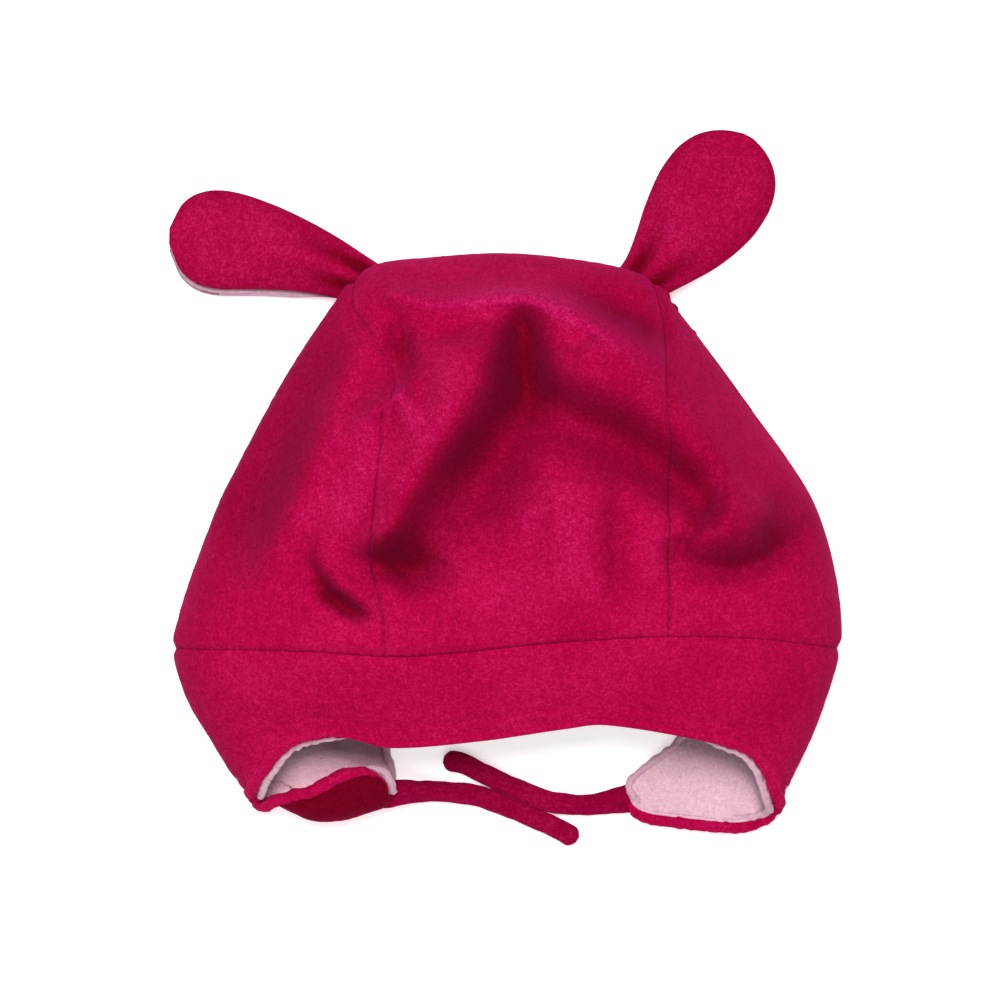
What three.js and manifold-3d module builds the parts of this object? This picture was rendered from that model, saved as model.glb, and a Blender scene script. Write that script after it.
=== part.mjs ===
// A baby's fleece hat with two ears, two ear flaps and two chin ties, lying flat on its back.
// Millimetres. +X is the picture's right, +Y points from the face opening to the crown's top, +Z is up from
// the table. The origin is on the table under the middle of the hat.
import * as THREE from "three";
import { mergeVertices } from "three/addons/utils/BufferGeometryUtils.js";
import Module from "manifold-3d";

const wasm = await Module();
wasm.setup();

// Driving dimensions
const CROWN_WALL = 2.5; // fleece with its lining
const BAND_WALL = 1.8;
const LINING_WALL = 1.5;
const GAP = 0.5; // between pieces that meet at a seam
const FOLD_HEIGHT = 14; // the side folds' height above the table, at the crown
const FLAP_FOLD_HEIGHT = 9.5; // the same at the bottom of an ear flap
const FRONT_ROLL = 10; // how far the front's edge rolls over, seen from above
const BACK_ROLL = 12;
const EDGE_RISE = 12; // the front's first steep rise beside a fold
const SWELL = 26; // how far from a fold the front reaches most of its height
const SEAM_Y = -55; // the side ends of the seam between crown and band
const LINING_GAP = 0.8; // under the band, wide enough for the facets of its curls
const BAND_TOP = SEAM_Y - GAP / 2;
const CORNER_Y = 64.5; // where the side folds meet the top edge
const SEAM_END_Y = 64; // where the panel seams reach the ears
const APEX_ROWS = 1; // rows by which a side panel stops short of the ear's corner
const SPAN = { front: 220, back: 110, top: 108, up: 125 }; // rough sizes that the rows crowd by at a fold

// Columns and rows of each piece of cloth
const STRIP = { across: 12, up: 15 };
const SIDE = { front: 9, back: 4 };
const BAND = { front: 28, back: 15, up: 13 };
const EAR = { along: 12, across: 6 };
const ENVELOPE = { across: 40, up: 16, deep: 50 };

// The outline seen from above: the side folds at each height, then the top edge from left to right
const SIDES = [
  { y: -111, left: -80.5, right: 89.4 },
  { y: -105, left: -83.7, right: 91.9 },
  { y: -98.5, left: -89.3, right: 94.6 },
  { y: -85, left: -97.6, right: 101 },
  { y: -72, left: -105.1, right: 105.8 },
  { y: -55, left: -109.9, right: 110.6 },
  { y: -45, left: -108, right: 110.8 },
  { y: -32, left: -104, right: 109.2 },
  { y: -19, left: -99.2, right: 106.1 },
  { y: -6, left: -94.2, right: 101 },
  { y: 7, left: -87.6, right: 92.6 },
  { y: 20, left: -80.8, right: 83 },
  { y: 33, left: -73.6, right: 73.9 },
  { y: 47, left: -64.8, right: 63.8 },
  { y: 60, left: -55.9, right: 54.2 },
  { y: 66, left: -52.3, right: 51 },
  { y: 76, left: -46.5, right: 45.5 },
];
const TOP = [
  { x: -60, y: 60 },
  { x: -53, y: 65 },
  { x: -43, y: 71.6 },
  { x: -25, y: 74 },
  { x: -2, y: 75.4 },
  { x: 18, y: 74 },
  { x: 38, y: 70.6 },
  { x: 49, y: 66.4 },
  { x: 60, y: 60 },
];

// The seam between crown and band, in front
const BAND_SEAM = [
  { x: -110, y: SEAM_Y },
  { x: -68, y: -55.6 },
  { x: -35, y: -57.3 },
  { x: -18, y: -56.2 },
  { x: 18, y: -52.6 },
  { x: 53, y: -50.7 },
  { x: 84, y: -51.6 },
  { x: 110, y: SEAM_Y },
];

// The two panel seams in front, and the plain ones behind
const PANEL_SEAMS = [
  { y: -56, left: -39.1, right: 53 },
  { y: -43, left: -39.8, right: 53.3 },
  { y: -34, left: -41.2, right: 53.4 },
  { y: -21, left: -44.2, right: 53.4 },
  { y: -4, left: -42.6, right: 53.3 },
  { y: 19, left: -39, right: 53 },
  { y: 29, left: -36.4, right: 53 },
  { y: 42, left: -43.5, right: 53 },
  { y: 56, left: -51, right: 51.8 },
  { y: 64, left: -50.5, right: 49.5 },
];
const BACK_SEAMS = [
  { y: -56, left: -44, right: 44 },
  { y: 10, left: -46, right: 46 },
  { y: 64, left: -50.5, right: 49.5 },
];

// How high the front stands above the table, from the rim to the crown's top
const HEIGHTS = [
  { y: -112, height: 33 },
  { y: -84, height: 40 },
  { y: -56, height: 50 },
  { y: -20, height: 58 },
  { y: 20, height: 62 },
  { y: 50, height: 58 },
  { y: 75, height: 46 },
];

// Ridges and dents of the front: each runs from one point to another, and fades over its width
const FOLDS = [
  { name: "valley behind the ridge", x0: -25, y0: 66, x1: 18, y1: 65, width: 6.5, rise: -4 },
  { name: "the same, to the right", x0: 20, y0: 64, x1: 45, y1: 47, width: 7.5, rise: -5 },
  { name: "ridge, left", x0: -44, y0: 58, x1: 4, y1: 58, width: 8.5, rise: 7 },
  { name: "ridge, right", x0: 12, y0: 55, x1: 44, y1: 35, width: 8.5, rise: 6.5 },
  { name: "deep dent", x0: -1, y0: 46, x1: 9, y1: 28, width: 13, rise: -17 },
  { name: "left valley", x0: -3, y0: 34, x1: -22, y1: 2, width: 9.5, rise: -8.5 },
  { name: "left valley's end", x0: -22, y0: 0, x1: -33, y1: -20, width: 8, rise: -6 },
  { name: "right valley", x0: 18, y0: 34, x1: 46, y1: 14, width: 12, rise: -7 },
  { name: "right valley's end", x0: 46, y0: 14, x1: 72, y1: -16, width: 10, rise: -5 },
  { name: "middle swell", x0: 2, y0: 2, x1: 34, y1: -30, width: 22, rise: 5 },
  { name: "left swell", x0: -54, y0: 24, x1: -46, y1: -18, width: 11, rise: 7 },
  { name: "left shadow, upper", x0: -56, y0: 33, x1: -70, y1: 6, width: 8, rise: -7 },
  { name: "left shadow, lower", x0: -71, y0: -2, x1: -60, y1: -30, width: 8, rise: -7 },
  { name: "left crease", x0: -60, y0: -31, x1: -47, y1: -44, width: 8, rise: -5.5 },
  { name: "crease from the ear", x0: -54, y0: 52, x1: -40, y1: 32, width: 6, rise: -3.5 },
  { name: "soft valley on the right", x0: 71, y0: -12, x1: 86, y1: -32, width: 12, rise: -4 },
];

// The front rim from the left fold's bottom to the right one's; at is the share of the way across
const FRONT_RIM = [
  { at: 0, x: -83.7, y: -104.8 },
  { at: 0.04, x: -79, y: -97 },
  { at: 0.09, x: -71.5, y: -88 },
  { at: 0.16, x: -60.9, y: -84 },
  { at: 0.21, x: -52, y: -83.8 },
  { at: 0.3, x: -38, y: -87 },
  { at: 0.45, x: -8.4, y: -84.6 },
  { at: 0.57, x: 18, y: -80.7 },
  { at: 0.64, x: 31.2, y: -79.4 },
  { at: 0.77, x: 60.6, y: -84.3 },
  { at: 0.87, x: 76, y: -89 },
  { at: 0.93, x: 83, y: -95 },
  { at: 0.97, x: 85.6, y: -103 },
  { at: 1, x: 89.4, y: -111 },
];

// The back rim with each ear flap's edge, from the centre of the back (at 0) to the fold's bottom (at 1).
// The cloth lies on the table down to x, y, and its last roll millimetres curl up from there.
const LEFT_FLAP = [
  { at: 0, x: -0.2, y: -77, roll: 0 },
  { at: 0.16, x: -17, y: -78, roll: 0 },
  { at: 0.32, x: -33, y: -81, roll: 0 },
  { at: 0.43, x: -42, y: -85.5, roll: 0 },
  { at: 0.5, x: -41, y: -91, roll: 0.5 },
  { at: 0.56, x: -39.5, y: -98, roll: 5 },
  { at: 0.6, x: -40.5, y: -102, roll: 15 },
  { at: 0.65, x: -45, y: -104.5, roll: 27 },
  { at: 0.74, x: -54.6, y: -107.7, roll: 33 },
  { at: 0.84, x: -66.2, y: -106.6, roll: 26 },
  { at: 0.93, x: -77, y: -103, roll: 12 },
  { at: 1, x: -83.7, y: -104.8, roll: 0 },
];
const RIGHT_FLAP = [
  { at: 0, x: 0.2, y: -77, roll: 0 },
  { at: 0.16, x: 18, y: -77, roll: 0 },
  { at: 0.32, x: 36, y: -78, roll: 0 },
  { at: 0.42, x: 49.5, y: -81.5, roll: 0.5 },
  { at: 0.49, x: 51.2, y: -87.5, roll: 1 },
  { at: 0.56, x: 47, y: -94, roll: 1.5 },
  { at: 0.62, x: 41.5, y: -100, roll: 2.5 },
  { at: 0.68, x: 42, y: -104, roll: 3.5 },
  { at: 0.74, x: 47.5, y: -108.5, roll: 4.5 },
  { at: 0.82, x: 60.6, y: -111.2, roll: 5 },
  { at: 0.9, x: 75, y: -112.9, roll: 5 },
  { at: 0.96, x: 84.5, y: -111.5, roll: 3 },
  { at: 1, x: 89.4, y: -111, roll: 0 },
];
const CURL_RADIUS = 6.5;
const CURL_TURN = 2.8; // radians after which a curl runs on straight
const RIM_ZONE = 12; // the flat run above the curl that shares the fine rows of the rim
const RIM_ROWS = 8 / 13; // the share of the rows that lie in the rim zone

// Where the lining ends: at the top and at the rim as a share of the height, above a curl in millimetres
const LINING_TOP = 0.97;
const HEM = { flap: 0.045, front: 0.02, aboveCurl: 2, easing: 8 };

// The ears: each runs from its root at the crown's corner to its tip. width is a half width.
const EAR_SHAPE = [
  { at: 0, width: 6.6 },
  { at: 0.14, width: 6.4 },
  { at: 0.28, width: 8.2 },
  { at: 0.5, width: 13.2 },
  { at: 0.72, width: 16.2 },
  { at: 0.86, width: 15 },
  { at: 0.95, width: 10 },
  { at: 1, width: 2.4 },
];
const EARS = {
  left: { rootX: -47.5, rootY: 64.5, bendX: -62, bendY: 71, tipX: -111, tipY: 82, broad: 0.94 },
  right: { rootX: 43.5, rootY: 65, bendX: 54, bendY: 76, tipX: 78.5, tipY: 115, broad: 1.08 },
};
const EAR_THICK = { front: 4.4, back: 3.4, edge: 0.9 };
const EAR_ROOT_Z = 9;
const EAR_CLEARANCE = 0.5; // round the ears' roots, where the crown's facets differ from its curve
const EAR_LIE_Z = 4.2;
const SLIVER = 2.2; // the left ear's pale back shows this far below its front

// The chin ties: route points laid on the table, from the flap's tip to the free end
const TIE = { width: 6.8, thick: 4.4, steps: 13, sides: 8 };
const TIE_LEFT_ROUTE = [
  { x: -39.2, y: -103.2, z: 4.6 },
  { x: -33, y: -102.9, z: 4.6 },
  { x: -25, y: -102.6, z: 2.6 },
  { x: -18, y: -103, z: 2.3 },
  { x: -8.4, y: -105.4, z: 2.3 },
  { x: 1.5, y: -109.4, z: 2.3 },
  { x: 11.4, y: -113.6, z: 2.3 },
  { x: 19.6, y: -117.2, z: 2.3 },
  { x: 23.9, y: -119, z: 2.3 },
];
const TIE_RIGHT_ROUTE = [
  { x: 40.75, y: -105.2, z: 2.8 },
  { x: 36, y: -105.9, z: 2.8 },
  { x: 29, y: -107, z: 2.4 },
  { x: 21, y: -106.6, z: 2.3 },
  { x: 13, y: -104.2, z: 2.3 },
  { x: 4.5, y: -100.2, z: 2.3 },
  { x: -5.1, y: -95, z: 2.3 },
  { x: -13.4, y: -91.9, z: 2.3 },
  { x: -19, y: -91, z: 2.3 },
];

const HOT_PINK = { color: 0xb80f50, roughness: 0.95, metalness: 0 };
const DEEP_PINK = { color: 0x9c0c44, roughness: 0.95, metalness: 0 };
const PALE_PINK = { color: 0xeccad6, roughness: 0.95, metalness: 0 };

const NEAR = 0.02; // the step over which a slope is measured
const { lerp, clamp } = THREE.MathUtils;

// A smooth value of one column of a table, whose rows stand in rising order of the key column.
function read(rows, key, column, at) {
  const last = rows.length - 1;
  let i = 0;
  while (i < last - 1 && at > rows[i + 1][key]) i += 1;
  const slope = (j) => {
    const before = rows[Math.max(j - 1, 0)];
    const after = rows[Math.min(j + 1, last)];
    return (after[column] - before[column]) / (after[key] - before[key]);
  };
  const low = rows[i];
  const high = rows[i + 1];
  const step = high[key] - low[key];
  const t = clamp((at - low[key]) / step, 0, 1);
  const t2 = t * t;
  const t3 = t2 * t;
  const rise = (t3 - 2 * t2 + t) * slope(i) + (t3 - t2) * slope(i + 1);
  return lerp(low[column], high[column], 3 * t2 - 2 * t3) + step * rise;
}

// The share of a span covered when the cloth rolls over a fold at 0, so that it stands upright there.
function rolled(share, span) {
  const reach = share * Math.sqrt((span + FRONT_ROLL) ** 2 - FRONT_ROLL ** 2);
  return (Math.sqrt(reach ** 2 + FRONT_ROLL ** 2) - FRONT_ROLL) / span;
}

// The same for a span with a fold at each end.
function rolledAcross(share, span) {
  const half = rolled(1 - Math.abs(2 * share - 1), span / 2) / 2;
  return share < 0.5 ? half : 1 - half;
}

const leftSide = (y) => read(SIDES, "y", "left", y);
const rightSide = (y) => read(SIDES, "y", "right", y);
const topEdge = (x) => read(TOP, "x", "y", x);
const bandSeam = (x) => read(BAND_SEAM, "x", "y", x);

// A curve's slope, to turn a straight distance to it into the shortest one.
function slantOf(curve, at) {
  const slope = (curve(at + 1) - curve(at - 1)) / 2;
  return Math.sqrt(1 + slope ** 2);
}

// How far a point seen from above lies inside the outline, eased where two edges are near.
function inset(x, y) {
  const left = (x - leftSide(y)) / slantOf(leftSide, y);
  const right = (rightSide(y) - x) / slantOf(rightSide, y);
  const top = y > 0 ? (topEdge(x) - y) / slantOf(topEdge, clamp(x, -54, 53)) : Infinity;
  const near = Math.min(left, right, top);
  if (near <= 0) return 0;
  const ease = 4;
  const sum = left ** -ease + right ** -ease + (top === Infinity ? 0 : top ** -ease);
  return sum ** (-1 / ease);
}

function foldHeight(y) {
  return lerp(FLAP_FOLD_HEIGHT, FOLD_HEIGHT, THREE.MathUtils.smoothstep(y, -110, -60));
}

// The sum of the ridges and dents at a point.
function relief(x, y) {
  let sum = 0;
  for (const fold of FOLDS) {
    const runX = fold.x1 - fold.x0;
    const runY = fold.y1 - fold.y0;
    const along = clamp(((x - fold.x0) * runX + (y - fold.y0) * runY) / (runX ** 2 + runY ** 2), 0, 1);
    const away = Math.hypot(x - fold.x0 - along * runX, y - fold.y0 - along * runY);
    sum += fold.rise * Math.exp(-((away / fold.width) ** 2));
  }
  return sum;
}

function frontZ(x, y) {
  const s = inset(x, y);
  const fold = foldHeight(y);
  const upright = Math.sqrt(s ** 2 + 2 * s * FRONT_ROLL) / (s + FRONT_ROLL);
  const swell = 1 - Math.exp(-s / SWELL);
  const full = read(HEIGHTS, "y", "height", y) - fold - EDGE_RISE;
  return fold + upright * (EDGE_RISE + full * swell + relief(x, y) * swell);
}

function backZ(x, y) {
  const away = 1 - Math.min(inset(x, y), BACK_ROLL) / BACK_ROLL;
  return foldHeight(y) * (1 - Math.sqrt(1 - away ** 2));
}

// A point of the front or the back, with the direction in which the cloth faces outwards there.
function onFront(x, y) {
  const slopeX = (frontZ(x + NEAR, y) - frontZ(x - NEAR, y)) / (2 * NEAR);
  const slopeY = (frontZ(x, y + NEAR) - frontZ(x, y - NEAR)) / (2 * NEAR);
  return {
    point: new THREE.Vector3(x, y, frontZ(x, y)),
    outward: new THREE.Vector3(-slopeX, -slopeY, 1).normalize(),
  };
}

function onBack(x, y) {
  const slopeX = (backZ(x + NEAR, y) - backZ(x - NEAR, y)) / (2 * NEAR);
  const slopeY = (backZ(x, y + NEAR) - backZ(x, y - NEAR)) / (2 * NEAR);
  return {
    point: new THREE.Vector3(x, y, backZ(x, y)),
    outward: new THREE.Vector3(slopeX, slopeY, -1).normalize(),
  };
}

// A piece of cloth: a block of one layer, bent so that its outer face follows surface(u, v).
// u runs to the right and v upwards as seen from outside. depth is where the outer face lies under it.
function cloth(columns, rows, surface, wall, depth = 0) {
  const block = new THREE.BoxGeometry(1, 1, 1, columns, rows, 1);
  const place = block.getAttribute("position");
  for (let i = 0; i < place.count; i += 1) {
    const under = depth + (0.5 - place.getZ(i)) * wall;
    const { point, outward } = surface(place.getX(i) + 0.5, place.getY(i) + 0.5);
    point.addScaledVector(outward, -under);
    place.setXYZ(i, point.x, point.y, point.z);
  }
  block.deleteAttribute("normal");
  block.deleteAttribute("uv");
  return mergeVertices(block, 1e-4);
}

function solidOf(geometry) {
  return new wasm.Manifold(
    new wasm.Mesh({
      numProp: 3,
      vertProperties: Float32Array.from(geometry.getAttribute("position").array),
      triVerts: Uint32Array.from(geometry.index.array),
    }),
  );
}

function geometryOf(solid) {
  const mesh = solid.getMesh();
  const geometry = new THREE.BufferGeometry();
  geometry.setAttribute("position", new THREE.BufferAttribute(mesh.vertProperties, 3));
  geometry.setIndex(new THREE.BufferAttribute(mesh.triVerts, 1));
  return geometry;
}

// The crown's filled top with EAR_CLEARANCE all round, which the ears' roots are cut by.
function crownEnvelope() {
  const block = new THREE.BoxGeometry(1, 1, 1, ENVELOPE.across, ENVELOPE.up, 1);
  const place = block.getAttribute("position");
  for (let i = 0; i < place.count; i += 1) {
    const rise = 1 - rolled(0.5 - place.getY(i), ENVELOPE.deep);
    const across = rolledAcross(place.getX(i) + 0.5, SPAN.top);
    const low = CORNER_Y - ENVELOPE.deep;
    const sideY = lerp(low, CORNER_Y, rise);
    const x = lerp(leftSide(sideY), rightSide(sideY), across);
    const y = lerp(low, topEdge(x), rise);
    const out = new THREE.Vector2(x, y - low).setLength(EAR_CLEARANCE);
    const z = place.getZ(i) > 0 ? frontZ(x, y) + EAR_CLEARANCE : backZ(x, y) - EAR_CLEARANCE;
    place.setXYZ(i, x + out.x, y + out.y, z);
  }
  block.deleteAttribute("normal");
  block.deleteAttribute("uv");
  return mergeVertices(block, 1e-4);
}

// A point of a panel seam, in front or behind; rise is the share of the way from the band to the top.
function seamPoint(seams, side, rise) {
  const x = read(seams, "y", side, lerp(SEAM_Y, SEAM_END_Y, rise));
  const foot = seams === PANEL_SEAMS ? bandSeam(x) : SEAM_Y;
  return { x, y: lerp(foot + GAP / 2, topEdge(x), rise) };
}

// The share of the way up for row v, where rows crowd at the top fold.
const riseOf = (v) => 1 - rolled(1 - v, SPAN.up);

// The middle strip: v runs up the front, over the top fold at one half, and down the back.
function stripSurface(u, v) {
  const front = v <= 0.5;
  const rise = riseOf(front ? 2 * v : 2 - 2 * v);
  const seams = front ? PANEL_SEAMS : BACK_SEAMS;
  const left = seamPoint(seams, "left", rise);
  const right = seamPoint(seams, "right", rise);
  const margin = GAP / 2 / (right.x - left.x);
  const across = lerp(margin, 1 - margin, u);
  const x = lerp(left.x, right.x, across);
  const foot = front ? bandSeam(x) : SEAM_Y;
  const y = lerp(foot + GAP / 2, topEdge(x), rise);
  return front ? onFront(x, y) : onBack(x, y);
}

// A side panel: from the front seam round the side fold to the back seam, as seen from outside.
function sideSurface(side) {
  const sign = side === "left" ? -1 : 1;
  const edge = side === "left" ? leftSide : rightSide;
  const lastRow = 1 - APEX_ROWS / STRIP.up;
  const share = SIDE.front / (SIDE.front + SIDE.back);
  return (u, v) => {
    const fromFront = side === "left" ? 1 - u : u;
    const front = fromFront <= share;
    const rise = riseOf(v * lastRow);
    const seam = seamPoint(front ? PANEL_SEAMS : BACK_SEAMS, side, rise);
    const foldY = lerp(SEAM_Y + GAP / 2, CORNER_Y, rise);
    const fold = { x: edge(foldY), y: foldY };
    const span = Math.max(Math.abs(seam.x - fold.x), 2);
    const out = front ? 1 - fromFront / share : (fromFront - share) / (1 - share);
    const way = rolled(out, span) * (1 - GAP / 2 / span);
    const x = lerp(fold.x, seam.x, way);
    const footLine = front ? bandSeam(x) - lerp(SEAM_Y, bandSeam(seam.x), way) : 0;
    const y = lerp(fold.y, seam.y, way) + footLine * (1 - rise);
    return front ? onFront(x, y) : onBack(x, y);
  };
}

// The share of the band's height at a row, with finer rows at the rim.
function heightShare(down) {
  const coarse = 1 - RIM_ROWS;
  const turn = 0.78;
  return down < coarse ? (down / coarse) * turn : lerp(turn, 1, (down - coarse) / RIM_ROWS);
}

// The side fold of the band, from the seam (down 0) to the flap's bottom (down 1).
function bandFold(side, down) {
  const foot = side === "left" ? FRONT_RIM[0] : FRONT_RIM[FRONT_RIM.length - 1];
  const y = lerp(BAND_TOP, foot.y, heightShare(down));
  return { x: side === "left" ? leftSide(y) : rightSide(y), y };
}

function bandFront(share, down) {
  const across = rolledAcross(share, SPAN.front);
  const way = heightShare(down);
  const x0 = lerp(leftSide(BAND_TOP), rightSide(BAND_TOP), across);
  const y0 = bandSeam(x0) + BAND_TOP - SEAM_Y;
  const rim = { x: read(FRONT_RIM, "at", "x", across), y: read(FRONT_RIM, "at", "y", across) };
  const folds = { left: bandFold("left", down), right: bandFold("right", down) };
  const ends = { left: FRONT_RIM[0], right: FRONT_RIM[FRONT_RIM.length - 1] };
  const bulge = (key, seamLeft, seamRight) =>
    (1 - across) * (folds.left[key] - lerp(seamLeft, ends.left[key], way)) +
    across * (folds.right[key] - lerp(seamRight, ends.right[key], way));
  const x = lerp(x0, rim.x, way) + bulge("x", leftSide(BAND_TOP), rightSide(BAND_TOP));
  const y = lerp(y0, rim.y, way) + bulge("y", BAND_TOP, BAND_TOP);
  return onFront(x, y);
}

// One column of the back half with its flap: down the table, then up and back round the curl.
function flapRun(side, out, down) {
  const flap = side === "left" ? LEFT_FLAP : RIGHT_FLAP;
  const end = { x: read(flap, "at", "x", out), y: read(flap, "at", "y", out) };
  const roll = Math.max(read(flap, "at", "roll", out), 0);
  const edge = side === "left" ? leftSide(BAND_TOP) : rightSide(BAND_TOP);
  const start = { x: lerp(flap[0].x, edge, out), y: BAND_TOP };
  const turn = { x: lerp(start.x, end.x, 0.1), y: lerp(start.y, end.y, 0.75) };
  const zone = RIM_ZONE / Math.hypot(end.x - start.x, end.y - start.y);
  const coarse = 1 - RIM_ROWS;
  const run = Math.max(down - coarse, 0) / RIM_ROWS;
  const past = run * (RIM_ZONE + roll) - RIM_ZONE;
  const t = down < coarse ? (down / coarse) * (1 - zone) : 1 + (Math.min(past, 0) / RIM_ZONE) * zone;
  const x = (1 - t) ** 2 * start.x + 2 * t * (1 - t) * turn.x + t ** 2 * end.x;
  const y = (1 - t) ** 2 * start.y + 2 * t * (1 - t) * turn.y + t ** 2 * end.y;
  if (past <= 0) return { x, y, lift: 0, shift: 0, angle: 0 };
  const angle = Math.min(past / CURL_RADIUS, CURL_TURN);
  const straight = past - angle * CURL_RADIUS;
  const shift = -CURL_RADIUS * Math.sin(angle) - straight * Math.cos(angle);
  const lift = CURL_RADIUS * (1 - Math.cos(angle)) + straight * Math.sin(angle);
  return { x, y, lift, shift, angle };
}

// One half of the back with its flap; share runs from the centre of the back to the side fold.
function bandBack(side, share, down) {
  const out = 1 - rolled(1 - share, SPAN.back);
  const at = flapRun(side, out, down);
  const edge = flapRun(side, 1, down);
  const fold = bandFold(side, down);
  const pull = out ** 3;
  const { point, outward } = onBack(at.x + pull * (fold.x - edge.x), at.y + pull * (fold.y - edge.y));
  point.y += at.shift;
  point.z += at.lift;
  outward.applyAxisAngle(new THREE.Vector3(1, 0, 0), -at.angle);
  return { point, outward };
}

// The whole band: u runs from the centre of the back over the left fold, the front and the right fold.
const BAND_COLUMNS = BAND.front + 2 * BAND.back;
function bandSurface(u, v) {
  const column = u * BAND_COLUMNS;
  const down = 1 - v;
  if (column < BAND.back) return bandBack("left", column / BAND.back, down);
  if (column <= BAND.back + BAND.front) return bandFront((column - BAND.back) / BAND.front, down);
  return bandBack("right", (BAND_COLUMNS - column) / BAND.back, down);
}

// Where the lining ends at the rim: a little above it, and before a flap's curl.
function hemAt(u) {
  const column = u * BAND_COLUMNS;
  if (column >= BAND.back && column <= BAND.back + BAND.front) {
    const share = (column - BAND.back) / BAND.front;
    const fromFold = 1 - Math.abs(2 * share - 1);
    return lerp(HEM.flap, HEM.front, Math.min(HEM.easing * fromFold, 1));
  }
  const inLeft = column < BAND.back;
  const out = 1 - rolled(1 - (inLeft ? column : BAND_COLUMNS - column) / BAND.back, SPAN.back);
  const roll = Math.max(read(inLeft ? LEFT_FLAP : RIGHT_FLAP, "at", "roll", out), 0);
  return Math.max(HEM.flap, RIM_ROWS * (1 - (RIM_ZONE - HEM.aboveCurl) / (RIM_ZONE + roll)));
}

function liningSurface(u, v) {
  const row = v < RIM_ROWS ? lerp(hemAt(u), RIM_ROWS, v / RIM_ROWS) : v;
  return bandSurface(u, Math.min(row, LINING_TOP));
}

// An ear's middle surface: along runs from root to tip, across from -1 to 1.
function earMiddle(ear, along, across) {
  const root = new THREE.Vector3(ear.rootX, ear.rootY, 0);
  const bend = new THREE.Vector3(ear.bendX, ear.bendY, 0);
  const tip = new THREE.Vector3(ear.tipX, ear.tipY, 0);
  const spine = new THREE.QuadraticBezierCurve3(root, bend, tip);
  const point = spine.getPoint(along);
  const heading = spine.getTangent(along);
  const half = read(EAR_SHAPE, "at", "width", along) * ear.broad;
  point.x -= heading.y * half * across;
  point.y += heading.x * half * across;
  point.z = lerp(EAR_ROOT_Z, EAR_LIE_Z, THREE.MathUtils.smoothstep(along, 0.1, 0.5));
  return point;
}

// One half of an ear, above or below its middle surface, thick in the middle and thin at the edge.
function earHalf(ear, thick, direction, shiftY = 0) {
  const block = new THREE.BoxGeometry(1, 1, 1, EAR.along, EAR.across, 1);
  const place = block.getAttribute("position");
  for (let i = 0; i < place.count; i += 1) {
    const along = Math.sin((place.getX(i) + 0.5) * (Math.PI / 2)) ** 1.15;
    const across = Math.sin(place.getY(i) * Math.PI);
    const top = place.getZ(i) > 0;
    const dome = Math.sqrt(1 - across ** 2) * Math.min(1, 5 * (1 - along) + 0.15);
    const wall = EAR_THICK.edge + (thick - EAR_THICK.edge) * dome;
    const outer = direction > 0 ? top : !top;
    const point = earMiddle(ear, along, across);
    const lift = direction * (outer ? wall : GAP / 2);
    place.setXYZ(i, point.x, point.y + shiftY, Math.max(point.z + lift, 0));
  }
  block.deleteAttribute("normal");
  block.deleteAttribute("uv");
  return mergeVertices(block, 1e-4);
}

// A tie: an oval section along its route.
function tieGeometry(route) {
  const path = new THREE.CatmullRomCurve3(route.map((p) => new THREE.Vector3(p.x, p.y, p.z)));
  const section = new THREE.Shape();
  for (let i = 0; i < TIE.sides; i += 1) {
    const turn = (2 * Math.PI * i) / TIE.sides;
    const x = (TIE.thick / 2) * Math.cos(turn);
    const y = (TIE.width / 2) * Math.sin(turn);
    if (i === 0) section.moveTo(x, y);
    else section.lineTo(x, y);
  }
  section.closePath();
  const tube = new THREE.ExtrudeGeometry(section, { steps: TIE.steps, extrudePath: path });
  tube.deleteAttribute("normal");
  tube.deleteAttribute("uv");
  return mergeVertices(tube, 1e-4);
}

function piece(name, geometry, finish) {
  const mesh = new THREE.Mesh(geometry, new THREE.MeshStandardMaterial(finish));
  mesh.name = name;
  return mesh;
}

const hat = new THREE.Group();

// Crown
const sideColumns = SIDE.front + SIDE.back;
const sideRows = STRIP.up - APEX_ROWS;
const crown = new THREE.Group();
crown.add(piece("crown_centre", cloth(STRIP.across, 2 * STRIP.up, stripSurface, CROWN_WALL), HOT_PINK));
for (const side of ["left", "right"]) {
  const panel = cloth(sideColumns, sideRows, sideSurface(side), CROWN_WALL);
  crown.add(piece("crown_" + side, panel, HOT_PINK));
}
hat.add(crown);

// Band with its ear flaps, and the lining under it
const band = new THREE.Group();
band.add(piece("band", cloth(BAND_COLUMNS, BAND.up, bandSurface, BAND_WALL), HOT_PINK));
const lining = cloth(BAND_COLUMNS, BAND.up, liningSurface, LINING_WALL, BAND_WALL + LINING_GAP);
band.add(piece("band_lining", lining, PALE_PINK));
hat.add(band);

// Ears, cut to meet the crown's corners
const corners = solidOf(crownEnvelope());
for (const [side, ear] of Object.entries(EARS)) {
  const sliver = side === "left" ? -SLIVER : 0;
  const halves = {
    front: { shape: earHalf(ear, EAR_THICK.front, 1), finish: HOT_PINK },
    back: { shape: earHalf(ear, EAR_THICK.back, -1, sliver), finish: PALE_PINK },
  };
  for (const [half, { shape, finish }] of Object.entries(halves)) {
    const cut = solidOf(shape).subtract(corners);
    hat.add(piece("ear_" + side + "_" + half, geometryOf(cut), finish));
  }
}

// Chin ties
hat.add(piece("tie_left", tieGeometry(TIE_LEFT_ROUTE), DEEP_PINK));
hat.add(piece("tie_right", tieGeometry(TIE_RIGHT_ROUTE), DEEP_PINK));

export default hat;
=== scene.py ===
"""A baby's fleece hat with two ears, two ear flaps and two chin ties, lying flat on its back.

The hat lies on the floor, its face opening towards -Y. The cloth's surfaces are worked out in
millimetres, close to the solids that they stand for, and become metres in the meshes.
"""

import logging
import math
from collections.abc import Callable, Sequence
from dataclasses import dataclass
from enum import Enum
from typing import NamedTuple

import bmesh
import bpy
import numpy as np
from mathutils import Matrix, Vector, noise


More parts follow.
